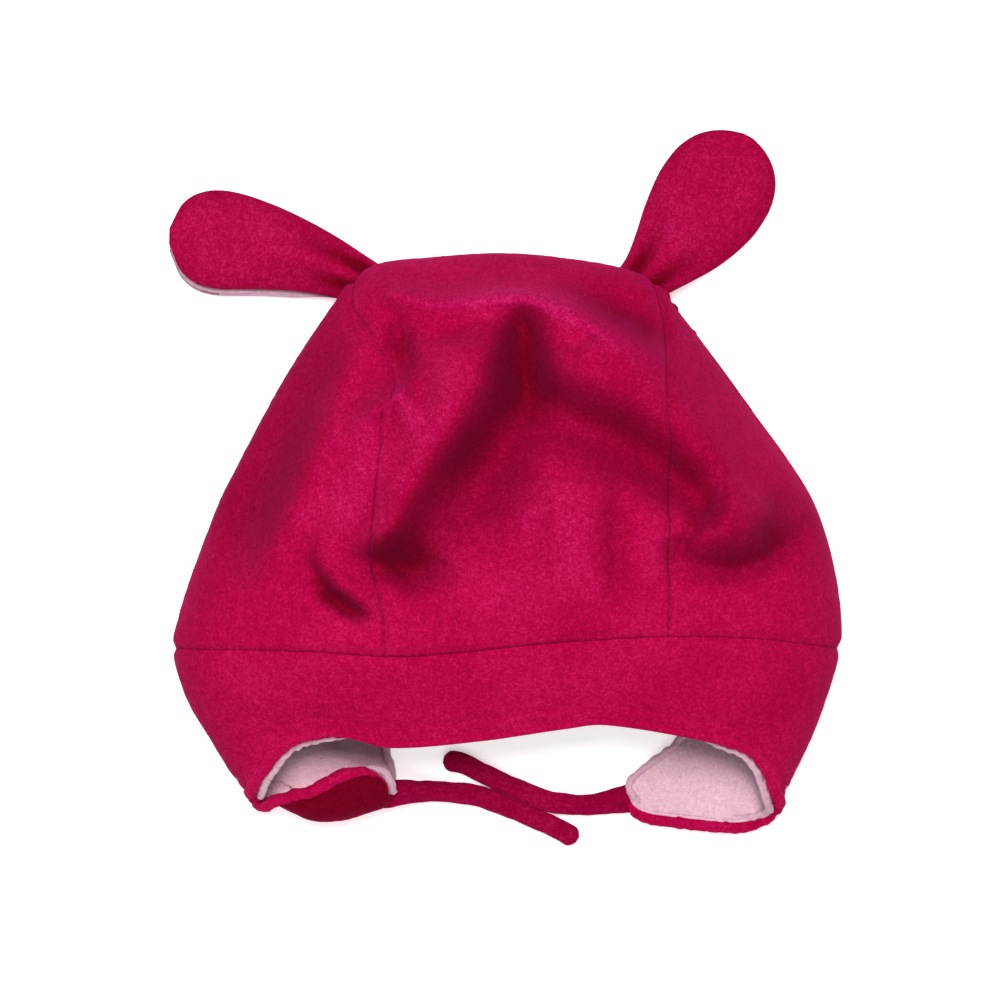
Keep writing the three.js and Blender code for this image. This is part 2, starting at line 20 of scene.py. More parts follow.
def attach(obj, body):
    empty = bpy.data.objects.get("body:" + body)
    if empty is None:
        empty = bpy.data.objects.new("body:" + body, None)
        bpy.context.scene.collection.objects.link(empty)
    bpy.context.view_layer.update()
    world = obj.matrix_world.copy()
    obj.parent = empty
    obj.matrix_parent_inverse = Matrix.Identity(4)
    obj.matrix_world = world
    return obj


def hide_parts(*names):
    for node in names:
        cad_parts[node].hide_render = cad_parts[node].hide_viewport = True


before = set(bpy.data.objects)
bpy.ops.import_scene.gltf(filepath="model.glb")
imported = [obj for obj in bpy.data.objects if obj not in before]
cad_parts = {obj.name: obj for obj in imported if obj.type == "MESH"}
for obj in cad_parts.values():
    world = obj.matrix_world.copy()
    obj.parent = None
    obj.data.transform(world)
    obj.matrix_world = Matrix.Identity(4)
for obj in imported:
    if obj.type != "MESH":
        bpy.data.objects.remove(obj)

LOG = logging.getLogger("hat")
MM = 0.001
# The point mark that says how much painted shade a point's colour gets.
SHADE_MARK = "shade_mark"
# The point mark that says how much painted highlight or painted light a point's colour gets.
HIGHLIGHT_MARK = "highlight_mark"
FLOOR_CLEARANCE = 0.05
WELD = 1e-6

Array = np.ndarray
Layer = tuple[Array, Array, Array]
Colour = tuple[float, float, float]
Pair = tuple[float, float]


class Flank(Enum):
    """The hat's two sides, as seen from above."""

    LEFT = "left"
    RIGHT = "right"


class SideRow(NamedTuple):
    """Where the outline's two sides, or two seams, are at one height."""

    y: float
    left: float
    right: float


class LineRow(NamedTuple):
    """A point of a line that runs across the hat."""

    x: float
    y: float


class HeightRow(NamedTuple):
    """How high the front stands at one height of the picture."""

    y: float
    height: float


class FoldPoint(NamedTuple):
    """A point of a ridge (rise above 0) or valley of the front, which fades over its width."""

    x: float
    y: float
    width: float
    rise: float


class StepPoint(NamedTuple):
    """A point of a step of the front, high on the left of its run and low on the right.

    The step has its slope on the line itself, and fades over one width on each side.
    """

    x: float
    y: float
    high: float
    low: float
    slope: float


class RimRow(NamedTuple):
    """A point of the front rim; at is the share of the way from the left fold to the right one."""

    at: float
    x: float
    y: float


class FlapRow(NamedTuple):
    """A point of the back rim, from the centre of the back to a fold; roll is how much curls up."""

    at: float
    x: float
    y: float
    roll: float


class WidthRow(NamedTuple):
    """A width at a share of a length."""

    at: float
    width: float


class RoutePoint(NamedTuple):
    """A point of a tie's centreline."""

    x: float
    y: float
    z: float


def rows(kind: Callable[..., NamedTuple], *values: tuple[float, ...]) -> tuple[NamedTuple, ...]:
    """A table with rows of one kind, made of plain values."""
    return tuple(kind(*value) for value in values)


# The outline, the seams and the front's height, in millimetres as seen from above.
SEAM_Y = -55.0
CORNER_Y = 64.5
SEAM_END_Y = 64.0
SIDES = rows(
    SideRow, (-111, -80.5, 89.4), (-105, -83.7, 91.9), (-98.5, -89.3, 94.6), (-85, -97.6, 101),
    (-72, -105.1, 105.8), (-55, -109.9, 110.6), (-45, -108, 110.8), (-32, -104, 109.2),
    (-19, -99.2, 106.1), (-6, -94.2, 101), (7, -87.6, 92.6), (20, -80.8, 83), (33, -73.6, 73.9),
    (47, -64.8, 63.8), (60, -55.9, 54.2), (66, -52.3, 51), (76, -46.5, 45.5),
)
TOP = rows(
    LineRow, (-60, 60), (-53, 65), (-43, 71.6), (-25, 74), (-2, 75.4), (18, 74), (38, 70.6), (49, 66.4),
    (60, 60),
)
BAND_SEAM = rows(
    LineRow, (-110, SEAM_Y), (-68, -55.6), (-35, -57.3), (-18, -56.2), (18, -52.6), (53, -50.7),
    (84, -51.6), (110, SEAM_Y),
)
PANEL_SEAMS = rows(
    SideRow, (-56, -39.1, 53), (-43, -39.8, 53.3), (-34, -41.2, 53.4), (-21, -44.2, 53.4),
    (-4, -42.6, 53.3), (19, -39, 53), (29, -36.4, 53), (42, -43.5, 53), (56, -51, 51.8),
    (64, -50.5, 49.5),
)
BACK_SEAMS = rows(
    SideRow, (-56, -44, 44), (10, -46, 46), (64, -50.5, 49.5),
)
HEIGHTS = rows(
    HeightRow, (-112, 31), (-84, 42), (-56, 53), (-20, 59), (20, 62), (50, 58), (75, 46),
)
# The front's ridges and dents.
CREST = rows(
    FoldPoint, (-46, 66, 4, 0), (-36, 61.5, 5, 8), (-21.6, 57.9, 6, 9), (-1.8, 59.9, 6, 12),
    (8, 59.9, 6, 13), (18, 56.9, 6.5, 13), (31, 49.7, 7, 12), (41, 43.4, 7, 10), (50, 39.4, 6, 6),
    (57, 33.5, 6, 0),
)
BEHIND_THE_CREST = rows(
    FoldPoint, (14, 67, 6, 0), (31, 58, 6, -5), (46, 50, 6, -6), (56, 43, 6, 0),
)
LEFT_BROW = rows(
    FoldPoint, (-20, 54, 6, 0), (-20, 40, 8, 2), (-21, 27, 8, 3), (-26, 13.7, 8, 3), (-36, 0.5, 8, 2),
    (-40, -10, 7, 1), (-42, -18, 6, 0),
)
LEFT_BULGE = rows(
    FoldPoint, (-35, 32, 10, 0), (-42, 16, 13, 4), (-50, 0, 13, 5), (-55, -14, 11, 4), (-52, -26, 9, 0),
)
LEFT_CREASE_FLOOR = rows(
    FoldPoint, (-61.5, -31, 2.4, 0), (-56.2, -37, 2.6, -4), (-49.6, -41.6, 2.6, -3.5),
    (-43, -46, 2.4, 0),
)
PINCH_CREASE = rows(
    FoldPoint, (-38, 58, 4, 0), (-34.5, 46, 5, -6), (-31.5, 38, 4, -4.5), (-29.5, 32, 3, 0),
)
PINCH_RIDGE = rows(
    FoldPoint, (-57, 11, 6, 0), (-45, 20.5, 5, 5), (-34, 28.5, 4.5, 9), (-31, 20, 6, 5),
    (-30, 10, 7, 0),
)
POCKET_DENT = rows(
    FoldPoint, (93, 2, 6, 0), (89, -7, 5.5, -4), (85.5, -17, 5, -3), (82, -23, 5, 0),
)
POCKET_CREASE = rows(
    FoldPoint, (67, -5, 3.5, 0), (62, -13, 3.2, -3), (57.5, -20, 3.2, -3.5), (54, -27, 3.5, 0),
)
POCKET_RIDGE = rows(
    FoldPoint, (75, -4, 4, 0), (71, -12, 4.5, 2.5), (67, -21, 4.5, 0),
)
MIDDLE_SWELL = rows(
    FoldPoint, (4, 12, 20, 0), (10, -8, 26, 5), (18, -32, 26, 3), (24, -52, 20, 0),
)
MIDDLE_STRIPE = rows(
    FoldPoint, (13, 6, 5, 0), (12, -16, 5, -2.2), (11, -42, 6, 0),
)
RIGHT_STRIPE = rows(
    FoldPoint, (38, 8, 5, 0), (35.5, -12, 5, -3.4), (36, -30, 5, -3), (37, -44, 6, 0),
)
# The front's steps, where the cloth drops from one level to the next.
LEFT_LEG = rows(
    StepPoint, (-46, -27, 7, 8, 0), (-39, -22, 8, 12, 1.2), (-34, -16, 9, 15, 1.3),
    (-27.5, -7, 9, 18, 1.4), (-20.5, 2.5, 10, 19, 1.6), (-13.5, 12, 11, 18, 1.7),
    (-6.5, 22, 14, 15, 1.6), (-1, 32, 16, 12, 1.6), (1.5, 42, 15, 9, 1.6), (1.5, 50, 10, 8, 1.2),
    (1, 57, 7, 7, 0),
)
RIGHT_LEG = rows(
    StepPoint, (9, 59, 8, 6, 0), (8.5, 50, 9, 7, 0.9), (10, 39, 12, 9, 1.2), (15, 30.5, 17, 11, 1.3),
    (25, 25.5, 19, 12, 1.4), (38, 19.5, 19, 12, 1.5), (49.3, 12.5, 17, 11, 1.5), (60.9, 3, 14, 10, 1.6),
    (68, -5, 11, 8, 1.2), (75, -13, 8, 7, 0),
)
LEFT_VALLEY = rows(
    StepPoint, (-47, 58, 7, 8, 0), (-52.5, 44, 7, 11, 0.7), (-58.5, 30, 7, 14, 1),
    (-65, 14, 8, 16, 1.2), (-71, 0, 8, 18, 1.3), (-76, -13, 8, 18, 1.2), (-81, -25, 8, 16, 0.8),
    (-88, -38, 8, 12, 0),
)
LEFT_CREASE = rows(
    StepPoint, (-62.5, -16, 4, 3, 0), (-62, -26, 5, 3.5, 0.9), (-56.5, -35.5, 5, 3.5, 1.6),
    (-49, -41, 5, 3.5, 1.5), (-42, -46, 4, 3, 0),
)
LEFT_SHELF = rows(
    StepPoint, (-54, -22, 7, 4, 0), (-44, -24.5, 10, 5, 1), (-35, -24, 12, 5.5, 1.6),
    (-25, -26.5, 13, 6.5, 1.1), (-12, -33, 11, 7, 0),
)
RIGHT_POCKET = rows(
    StepPoint, (50, -16, 7, 5, 0), (59, -23, 12, 6, 1), (72, -25.5, 18, 6, 1.5),
    (83, -22.5, 18, 6, 1.6), (92, -16, 15, 6, 1.3), (100, -5, 10, 6, 0),
)
RIDGES = (
    CREST, BEHIND_THE_CREST, LEFT_BROW, LEFT_BULGE, LEFT_CREASE_FLOOR, PINCH_CREASE, PINCH_RIDGE,
    POCKET_DENT, POCKET_CREASE, POCKET_RIDGE, MIDDLE_SWELL, MIDDLE_STRIPE, RIGHT_STRIPE,
)
STEPS = (
    LEFT_LEG, RIGHT_LEG, LEFT_VALLEY, LEFT_CREASE, LEFT_SHELF, RIGHT_POCKET,
)
# The rim of the face opening, in front and round both flaps.
FRONT_RIM = rows(
    RimRow, (0, -83.7, -104.8), (0.04, -79, -97), (0.09, -71.5, -88), (0.16, -60.9, -84),
    (0.21, -52, -83.8), (0.3, -38, -87), (0.45, -8.4, -84.6), (0.57, 18, -80.7), (0.64, 31.2, -79.4),
    (0.77, 60.6, -84.3), (0.87, 76, -89), (0.93, 82, -95), (0.97, 85.2, -102), (1, 88.2, -108.4),
)
RIM_LINE = tuple(LineRow(row.x, row.y) for row in FRONT_RIM)
LEFT_FLAP = rows(
    FlapRow, (0, 0, -77, 0), (0.16, -17, -78, 0), (0.32, -33, -80, 0), (0.42, -41.5, -84, 0),
    (0.49, -40.5, -90, 0.5), (0.55, -38.6, -96.5, 3), (0.6, -38.8, -101, 21), (0.66, -45, -103.8, 29.4),
    (0.74, -54.6, -106.8, 30.2), (0.82, -64, -106.8, 25), (0.88, -71, -103.8, 20),
    (0.94, -77.5, -101, 13), (1, -83.7, -104.8, 0),
)
RIGHT_FLAP = rows(
    FlapRow, (0, 0, -77, 0), (0.16, 20, -77, 0), (0.32, 44, -77.5, 0), (0.42, 60, -81, 0),
    (0.49, 57.5, -87.2, 0.5), (0.56, 50, -92.8, 1), (0.62, 42.8, -98, 1.5), (0.66, 40.8, -101.5, 2),
    (0.7, 41.2, -105.2, 3), (0.75, 46, -107.6, 4.5), (0.82, 59, -109.2, 5), (0.9, 74, -110.6, 5),
    (0.96, 83.6, -109.8, 3), (1, 88.2, -108.4, 0),
)
# The ears' half widths, and the ties.
LEFT_EAR_SHAPE = rows(
    WidthRow, (0, 7.4), (0.12, 8.2), (0.25, 9.8), (0.41, 12), (0.58, 14.4), (0.76, 16.3), (0.87, 15.2),
    (0.95, 10.8), (1, 2.6),
)
RIGHT_EAR_SHAPE = rows(
    WidthRow, (0, 7.6), (0.14, 9), (0.28, 12.3), (0.42, 15.8), (0.6, 18.7), (0.72, 18.9), (0.8, 18),
    (0.88, 15.4), (0.94, 11.4), (0.98, 6.5), (1, 2),
)
TIE_WIDTH = rows(
    WidthRow, (0, 1.5), (0.08, 1.36), (0.24, 1.02), (0.45, 1.04), (0.75, 0.98), (1, 1.02),
)
TIE_LEFT_ROUTE = rows(
    RoutePoint, (-39.2, -103.2, 8.5), (-33, -102.9, 6.4), (-25, -102.8, 3.4), (-18, -103.2, 2.4),
    (-8.4, -104.5, 2.3), (-1.8, -107, 2.3), (8, -111, 2.3), (19.6, -116.4, 2.3), (23.9, -119, 2.3),
)
TIE_RIGHT_ROUTE = rows(
    RoutePoint, (40.75, -105.2, 2.8), (36, -106, 2.8), (29, -107.2, 2.4), (21, -107.2, 2.3),
    (13, -105.8, 2.3), (6, -103.1, 2.3), (-1.8, -99.6, 2.3), (-8.4, -96.4, 2.3), (-14, -93.6, 2.3),
    (-20.6, -92.2, 2.3),
)


def read(table: Sequence[NamedTuple], column: str, at: Array | float) -> Array:
    """Reads a smooth value from one column of a table.

    Args:
        table: the rows, in rising order of their first column.
        column: the name of the column to read.
        at: the first column's values to read at.

    Returns:
        The column's values there, held at the ends.
    """
    keys = np.array([row[0] for row in table], float)
    values = np.array([getattr(row, column) for row in table], float)
    slopes = np.empty_like(values)
    slopes[1:-1] = (values[2:] - values[:-2]) / (keys[2:] - keys[:-2])
    slopes[0] = (values[1] - values[0]) / (keys[1] - keys[0])
    slopes[-1] = (values[-1] - values[-2]) / (keys[-1] - keys[-2])
    at = np.asarray(at, float)
    i = np.clip(np.searchsorted(keys, at) - 1, 0, len(keys) - 2)
    step = keys[i + 1] - keys[i]
    t = np.clip((at - keys[i]) / step, 0, 1)
    t2 = t * t
    t3 = t2 * t
    rise = (t3 - 2 * t2 + t) * slopes[i] + (t3 - t2) * slopes[i + 1]
    return values[i] + (values[i + 1] - values[i]) * (3 * t2 - 2 * t3) + step * rise


def lerp(low: Array | float, high: Array | float, share: Array | float) -> Array:
    """The value a share of the way from low to high."""
    return low + (high - low) * share


def smoothstep(value: Array, low: float, high: float) -> Array:
    """Rises smoothly from 0 at low to 1 at high."""
    t = np.clip((value - low) / (high - low), 0, 1)
    return t * t * (3 - 2 * t)


def bell(distance: Array, width: float) -> Array:
    """Falls smoothly from 1 at no distance towards 0 past the width."""
    return np.exp(-((distance / width) ** 2))


def arc(start: Array | float, lean: Array | float, end: Array | float, share: Array) -> Array:
    """The point a share of the way along an arc from start to end that leans to a third point."""
    return (1 - share) ** 2 * start + 2 * share * (1 - share) * lean + share**2 * end


def noise_at(points: Array, grain: float, seed: float = 0.0) -> Array:
    """Smooth noise from about -1 to 1 at points in millimetres.

    Args:
        points: one point a row.
        grain: the size of the noise's lumps, in millimetres.
        seed: a shift that gives another pattern.

    Returns:
        One value a point.
    """
    shift = Vector((seed, 2 * seed, 3 * seed))
    return np.array([noise.noise(Vector(p) / grain + shift) for p in points])


def unit(vectors: Array) -> Array:
    """The vectors' directions, one a row."""
    return vectors / np.linalg.norm(vectors, axis=1, keepdims=True)


def reach_along(points: Array) -> Array:
    """How far along a line each of its points is."""
    return np.concatenate([[0], np.cumsum(np.linalg.norm(np.diff(points, axis=0), axis=1))])


def pick(first: Array, one: Array, other: Array) -> Array:
    """Takes each row from one where first is true, and else from the other."""
    return np.where(first if one.ndim == 1 else first[:, None], one, other)


def set_inputs(node: bpy.types.Node, values: dict[str, float | tuple[float, ...]]) -> None:
    """Sets a shader node's inputs by their names."""
    for name, value in values.items():
        node.inputs[name].default_value = value


def grid(across: int, up: int) -> tuple[bmesh.types.BMesh, Array]:
    """A flat grid, and each vertex's shares of the way across and up."""
    bm = bmesh.new()
    bmesh.ops.create_grid(bm, x_segments=across, y_segments=up, size=0.5)
    return bm, np.array([(v.co.x + 0.5, v.co.y + 0.5) for v in bm.verts])


def bend(bm: bmesh.types.BMesh, points: Array) -> None:
    """Moves a mesh's vertices to points in millimetres."""
    for vert, place in zip(bm.verts, points * MM):
        vert.co = place


def close_tube(bm: bmesh.types.BMesh) -> None:
    """Joins a tube's long sides, closes its open ends and turns its faces outwards.

    Args:
        bm: the tube's mesh.
    """
    bmesh.ops.remove_doubles(bm, verts=bm.verts, dist=WELD)
    rims = [edge for edge in bm.edges if edge.is_boundary]
    bmesh.ops.holes_fill(bm, edges=rims)
    bmesh.ops.recalc_face_normals(bm, faces=bm.faces)


def link(name: str, bm: bmesh.types.BMesh) -> bpy.types.Object:
    """Turns a mesh into a smooth object of the scene.

    Args:
        name: the new object's name.
        bm: the mesh, which is freed.

    Returns:
        The new object.
    """
    mesh = bpy.data.meshes.new(name)
    bm.to_mesh(mesh)
    bm.free()
    mesh.polygons.foreach_set("use_smooth", [True] * len(mesh.polygons))
    piece = bpy.data.objects.new(name, mesh)
    bpy.context.scene.collection.objects.link(piece)
    return piece


def mark(piece: bpy.types.Object, name: str, values: Array) -> None:
    """Keeps one value a point on a piece, for its material to read."""
    piece.data.attributes.new(name, "FLOAT", "POINT").data.foreach_set("value", values)


def add_wall(piece: bpy.types.Object, thickness: float) -> bpy.types.Modifier:
    """Gives a piece a wall under its outer face.

    Args:
        piece: the object.
        thickness: the wall's thickness, in millimetres.

    Returns:
        The modifier that makes the wall.
    """
    wall = piece.modifiers.new("wall", "SOLIDIFY")
    wall.thickness = thickness * MM
    wall.offset = -1
    return wall


@dataclass(frozen=True)
class HatForm:
    """The hat's outer surface as it lies: a front and a back height over each point of its outline."""

    fold_height: float = 14.0
    flap_fold_height: float = 9.5
    front_roll: float = 10.0
    back_roll: float = 12.0
    edge_rise: float = 16.0
    swell: float = 32.0
    relief_ease: float = 7.0
    knee: float = 9.0
    headroom: float = 5.0
    keen: float = 0.4
    keenness: float = 0.12
    near: float = 0.02
    fold_rise: Pair = (-110.0, -60.0)
    corners: Pair = (-54.0, 53.0)
    edge_power: int = 4
    far: float = 1e6
    least: float = 1e-6
    # How strong the front's painted shade and painted highlight are, and where they fall.
    steep_shade: float = 0.4
    steep_shade_slope: float = 0.5
    valley_shade_depth: float = 12.0
    crest_highlight_rise: float = 9.0
    crest_share: float = 0.6
    step_shade: float = 0.38
    slope_shift: float = 0.3
    slope_reach: float = 0.9
    lip_highlight: float = 0.2
    lip_reach: float = 0.5

    def rolled(self, share: Array, span: Array | float) -> Array:
        """The share of a span covered when the cloth rolls over a fold at 0."""
        reach = share * np.sqrt((span + self.front_roll) ** 2 - self.front_roll**2)
        return (np.sqrt(reach**2 + self.front_roll**2) - self.front_roll) / span

    def rolled_across(self, share: Array, span: float) -> Array:
        """The same for a span with a fold at each end."""
        half = self.rolled(1 - np.abs(2 * share - 1), span / 2) / 2
        return np.where(share < 0.5, half, 1 - half)

    def side(self, flank: Flank, y: Array | float) -> Array:
        """Where one side fold is at a height of the picture."""
        return read(SIDES, flank.value, y)

    def top(self, x: Array | float) -> Array:
        """Where the top edge is."""
        return read(TOP, "y", x)

    def seam(self, x: Array | float) -> Array:
        """Where the seam between crown and band is, in front."""
        return read(BAND_SEAM, "y", x)

    def inset(self, x: Array, y: Array) -> Array:
        """How far a point seen from above lies inside the outline, eased where two edges are near.

        Args:
            x: the points' places across.
            y: the points' places up the picture.

        Returns:
            The distances, 0 outside the outline.
        """
        edges = []
        for flank, sign in ((Flank.LEFT, 1), (Flank.RIGHT, -1)):
            slope = (self.side(flank, y + 1) - self.side(flank, y - 1)) / 2
            edges.append(sign * (x - self.side(flank, y)) / np.sqrt(1 + slope**2))
        at = np.clip(x, *self.corners)
        slope = (self.top(at + 1) - self.top(at - 1)) / 2
        top = (self.top(x) - y) / np.sqrt(1 + slope**2)
        edges.append(np.where(y > 0, top, self.far))
        eased = sum(np.maximum(edge, self.least) ** -self.edge_power for edge in edges)
        return np.where(np.minimum.reduce(edges) <= 0, 0, eased ** (-1 / self.edge_power))

    def fold_z(self, y: Array) -> Array:
        """The side folds' height above the floor."""
        return lerp(self.flap_fold_height, self.fold_height, smoothstep(y, *self.fold_rise))

    def nearest(self, line: Sequence[FoldPoint | StepPoint], x: Array, y: Array) -> tuple[Array, ...]:
        """The nearest place of a fold's line to each point.

        Args:
            line: the fold's points.
            x: the points' places across.
            y: the points' places up the picture.

        Returns:
            The distance, above 0 on the left of the line's run, and the line's last columns there.
        """
        columns = len(line[0]) - 2
        away = np.full_like(x, np.inf)
        side = np.ones_like(x)
        values = np.zeros((columns, *x.shape))
        for start, end in zip(line, line[1:]):
            run_x = end.x - start.x
            run_y = end.y - start.y
            along = ((x - start.x) * run_x + (y - start.y) * run_y) / (run_x**2 + run_y**2)
            along = np.clip(along, 0, 1)
            off_x = x - start.x - along * run_x
            off_y = y - start.y - along * run_y
            distance = np.hypot(off_x, off_y)
            closer = distance < away
            away = np.where(closer, distance, away)
            side = np.where(closer, np.sign(run_x * off_y - run_y * off_x), side)
            for column in range(columns):
                here = lerp(start[column + 2], end[column + 2], along)
                values[column] = np.where(closer, here, values[column])
        return away * side, *values

    def relief(self, x: Array, y: Array) -> Array:
        """The sum of the front's ridges, dents and steps, eased where it is high.

        Args:
            x: the points' places across.
            y: the points' places up the picture.

        Returns:
            How much they add to the front's height.
        """
        total = np.zeros_like(x)
        for fold in RIDGES:
            away, width, rise = self.nearest(fold, x, y)
            ridge = lerp(bell(away, width), bell(away, self.keen * width), self.keenness)
            total = total + rise * ridge
        for fold in STEPS:
            away, high, low, slope = self.nearest(fold, x, y)
            total = total + slope * away * bell(away, np.where(away > 0, high, low))
        above = np.maximum(total - self.knee, 0)
        return total - above + self.headroom * np.tanh(above / self.headroom)

    def front_z(self, x: Array, y: Array) -> Array:
        """The front's height above the floor.

        Args:
            x: the points' places across.
            y: the points' places up the picture.

        Returns:
            The heights.
        """
        s = self.inset(x, y)
        fold = self.fold_z(y)
        upright = np.sqrt(s**2 + 2 * s * self.front_roll) / (s + self.front_roll)
        swell = 1 - np.exp(-s / self.swell)
        full = read(HEIGHTS, "height", y) - fold - self.edge_rise
        eased = 1 - np.exp(-s / self.relief_ease)
        return fold + upright * (self.edge_rise + full * swell + self.relief(x, y) * eased)

    def painted_light(self, x: Array, y: Array, outward: Array) -> tuple[Array, Array]:
        """Painted shade and painted highlight of the front: darker on steep faces, in the valleys and
        on the steps' slopes, lighter on the ridges and at the steps' lips.

        Args:
            x: the points' places across.
            y: the points' places up the picture.
            outward: the directions in which the cloth faces there.

        Returns:
            How much painted shade and how much painted highlight each point gets, from 0 to 1.
        """
        # Painted shade: the further a face turns from straight up, the darker it is painted.
        dark_grain_and_shade = self.steep_shade * np.clip((1 - outward[:, 2]) / self.steep_shade_slope, 0, 1)
        painted_highlight = np.zeros_like(x)
        # Painted shade along the valleys, painted highlight along the ridges.
        for fold in RIDGES:
            away, width, rise = self.nearest(fold, x, y)
            dark_grain_and_shade = dark_grain_and_shade + np.maximum(-rise, 0) / self.valley_shade_depth * bell(away, width)
            lift = np.maximum(rise, 0) / self.crest_highlight_rise
            painted_highlight = painted_highlight + lift * bell(away, self.crest_share * width)
        # Painted shade on each step's slope and below it, painted highlight at its lip.
        for fold in STEPS:
            away, high, low, slope = self.nearest(fold, x, y)
            reach = away / np.where(away > 0, high, low)
            step_shaded = bell(reach + self.slope_shift, self.slope_reach)
            dark_grain_and_shade = dark_grain_and_shade + self.step_shade * slope * step_shaded
            painted_highlight = painted_highlight + self.lip_highlight * slope * bell(reach - 1, self.lip_reach)
        return np.clip(dark_grain_and_shade, 0, 1), np.clip(painted_highlight - dark_grain_and_shade, 0, 1)

    def back_z(self, x: Array, y: Array) -> Array:
        """The back's height above the floor, on which it lies flat."""
        away = 1 - np.minimum(self.inset(x, y), self.back_roll) / self.back_roll
        return self.fold_z(y) * (1 - np.sqrt(1 - away**2))

    def on_layer(self, x: Array, y: Array, front: bool) -> tuple[Array, Array]:
        """Points of the front or back, with the directions in which the cloth faces outwards.

        Args:
            x: the points' places across.
            y: the points' places up the picture.
            front: whether they lie on the front.

        Returns:
            The points and their outward directions, one a row.
        """
        height = self.front_z if front else self.back_z
        slope_x = (height(x + self.near, y) - height(x - self.near, y)) / (2 * self.near)
        slope_y = (height(x, y + self.near) - height(x, y - self.near)) / (2 * self.near)
        up = 1 if front else -1
        outward = np.stack([-up * slope_x, -up * slope_y, up * np.ones_like(x)], 1)
        return np.stack([x, y, height(x, y)], 1), unit(outward)


FORM = HatForm()


@dataclass(frozen=True)
class Lumps:
    """A noise pattern whose lumps have a size in millimetres."""

    size: float
    detail: float
    roughness: float
    distortion: float

    def values(self, made: bpy.types.Material) -> bpy.types.NodeSocket:
        """Adds the pattern to a material.

        Args:
            made: the material.

        Returns:
            The socket that gives the pattern's values.
        """
        place = made.node_tree.nodes.new("ShaderNodeTexCoord")
        node = made.node_tree.nodes.new("ShaderNodeTexNoise")
        set_inputs(node, {
            "Scale": 1 / (self.size * MM),
            "Detail": self.detail,
            "Roughness": self.roughness,
            "Distortion": self.distortion,
        })
        made.node_tree.links.new(place.outputs["Object"], node.inputs["Vector"])
        return node.outputs["Fac"]


@dataclass(frozen=True)
class FleeceFinish:
    """Brushed fleece: a short dense pile with lighter fibre tips, with painted shade and painted
    highlight multiplied into its colour where each point's marks say.
    """

    name: str
    # The pile's own colours: base, lighter tips and darker fibres.
    base: Colour
    tips: Colour
    dark_grain_and_shade: Colour
    bloom: Colour = (0.95, 0.03, 0.36)
    # Tones that the colour is multiplied by for painted shade and for painted highlight.
    shade: Colour = (0.36, 0.12, 0.16)
    painted_highlight: Colour = (1.1, 3.2, 1.6)
    roughness: float = 0.95
    gloss: float = 0.03
    sheen: float = 0.22
    sheen_roughness: float = 0.45
    pile: Lumps = Lumps(0.85, 5, 0.7, 0.8)
    clumps: Lumps = Lumps(2.6, 2, 0.5, 0.4)
    patches: Lumps = Lumps(28, 1, 0.5, 0)
    clump_share: float = 0.18
    patch_share: float = 0.16
    tones: tuple[float, float, float] = (0.32, 0.5, 0.7)
    bump: float = 0.8
    depth: float = 0.7

    def material(self) -> bpy.types.Material:
        """Builds the material.

        Returns:
            The new material, with its colours, pile and sheen.
        """
        made = bpy.data.materials.new(self.name)
        made.use_nodes = True
        nodes = made.node_tree.nodes
        links = made.node_tree.links
        shader = nodes["Principled BSDF"]
        set_inputs(shader, {
            "Roughness": self.roughness,
            "Specular IOR Level": self.gloss,
            "Sheen Weight": self.sheen,
            "Sheen Roughness": self.sheen_roughness,
            "Sheen Tint": (*self.bloom, 1),
        })

        # The grain's own tones at random: darker fibres, the base and lighter tips.
        ramp = nodes.new("ShaderNodeValToRGB")
        dark, middle, light = self.tones
        stops = ramp.color_ramp.elements
        stops[0].position = dark
        stops[0].color = (*self.dark_grain_and_shade, 1)
        stops[1].position = light
        stops[1].color = (*self.tips, 1)
        stops.new(middle).color = (*self.base, 1)

        def blend(
            a: bpy.types.NodeSocket, b: bpy.types.NodeSocket, share: float
        ) -> bpy.types.NodeSocket:
            """Mixes two values.

            Args:
                a: the first value's socket.
                b: the second value's socket.
                share: how much of the second comes in.

            Returns:
                The mixed value's socket.
            """
            node = nodes.new("ShaderNodeMix")
            node.inputs["Factor"].default_value = share
            links.new(a, node.inputs["A"])
            links.new(b, node.inputs["B"])
            return node.outputs["Result"]

        grain = blend(self.pile.values(made), self.clumps.values(made), self.clump_share)
        shown = blend(grain, self.patches.values(made), self.patch_share)
        links.new(shown, ramp.inputs["Fac"])
        colour = ramp.outputs["Color"]
        # Painted highlight, then painted shade: the colour is multiplied towards each tone as far as
        # the point's mark says.
        for name, tone in ((HIGHLIGHT_MARK, self.painted_highlight), (SHADE_MARK, self.shade)):
            share = nodes.new("ShaderNodeAttribute")
            share.attribute_name = name
            tint = nodes.new("ShaderNodeMix")
            tint.data_type = "RGBA"
            tint.blend_type = "MULTIPLY"
            links.new(share.outputs["Fac"], tint.inputs["Factor"])
            links.new(colour, tint.inputs["A"])
            tint.inputs["B"].default_value = (*tone, 1)
            colour = tint.outputs["Result"]
        links.new(colour, shader.inputs["Base Color"])

        bump = nodes.new("ShaderNodeBump")
        set_inputs(bump, {"Strength": self.bump, "Distance": self.depth * MM})
        links.new(grain, bump.inputs["Height"])
        links.new(bump.outputs["Normal"], shader.inputs["Normal"])
        return made


class Finish(Enum):
    """The hat's finishes, each named after its material slot in the record."""

    FLEECE = "fleece"
    LINING = "lining"
    TIE = "tie"


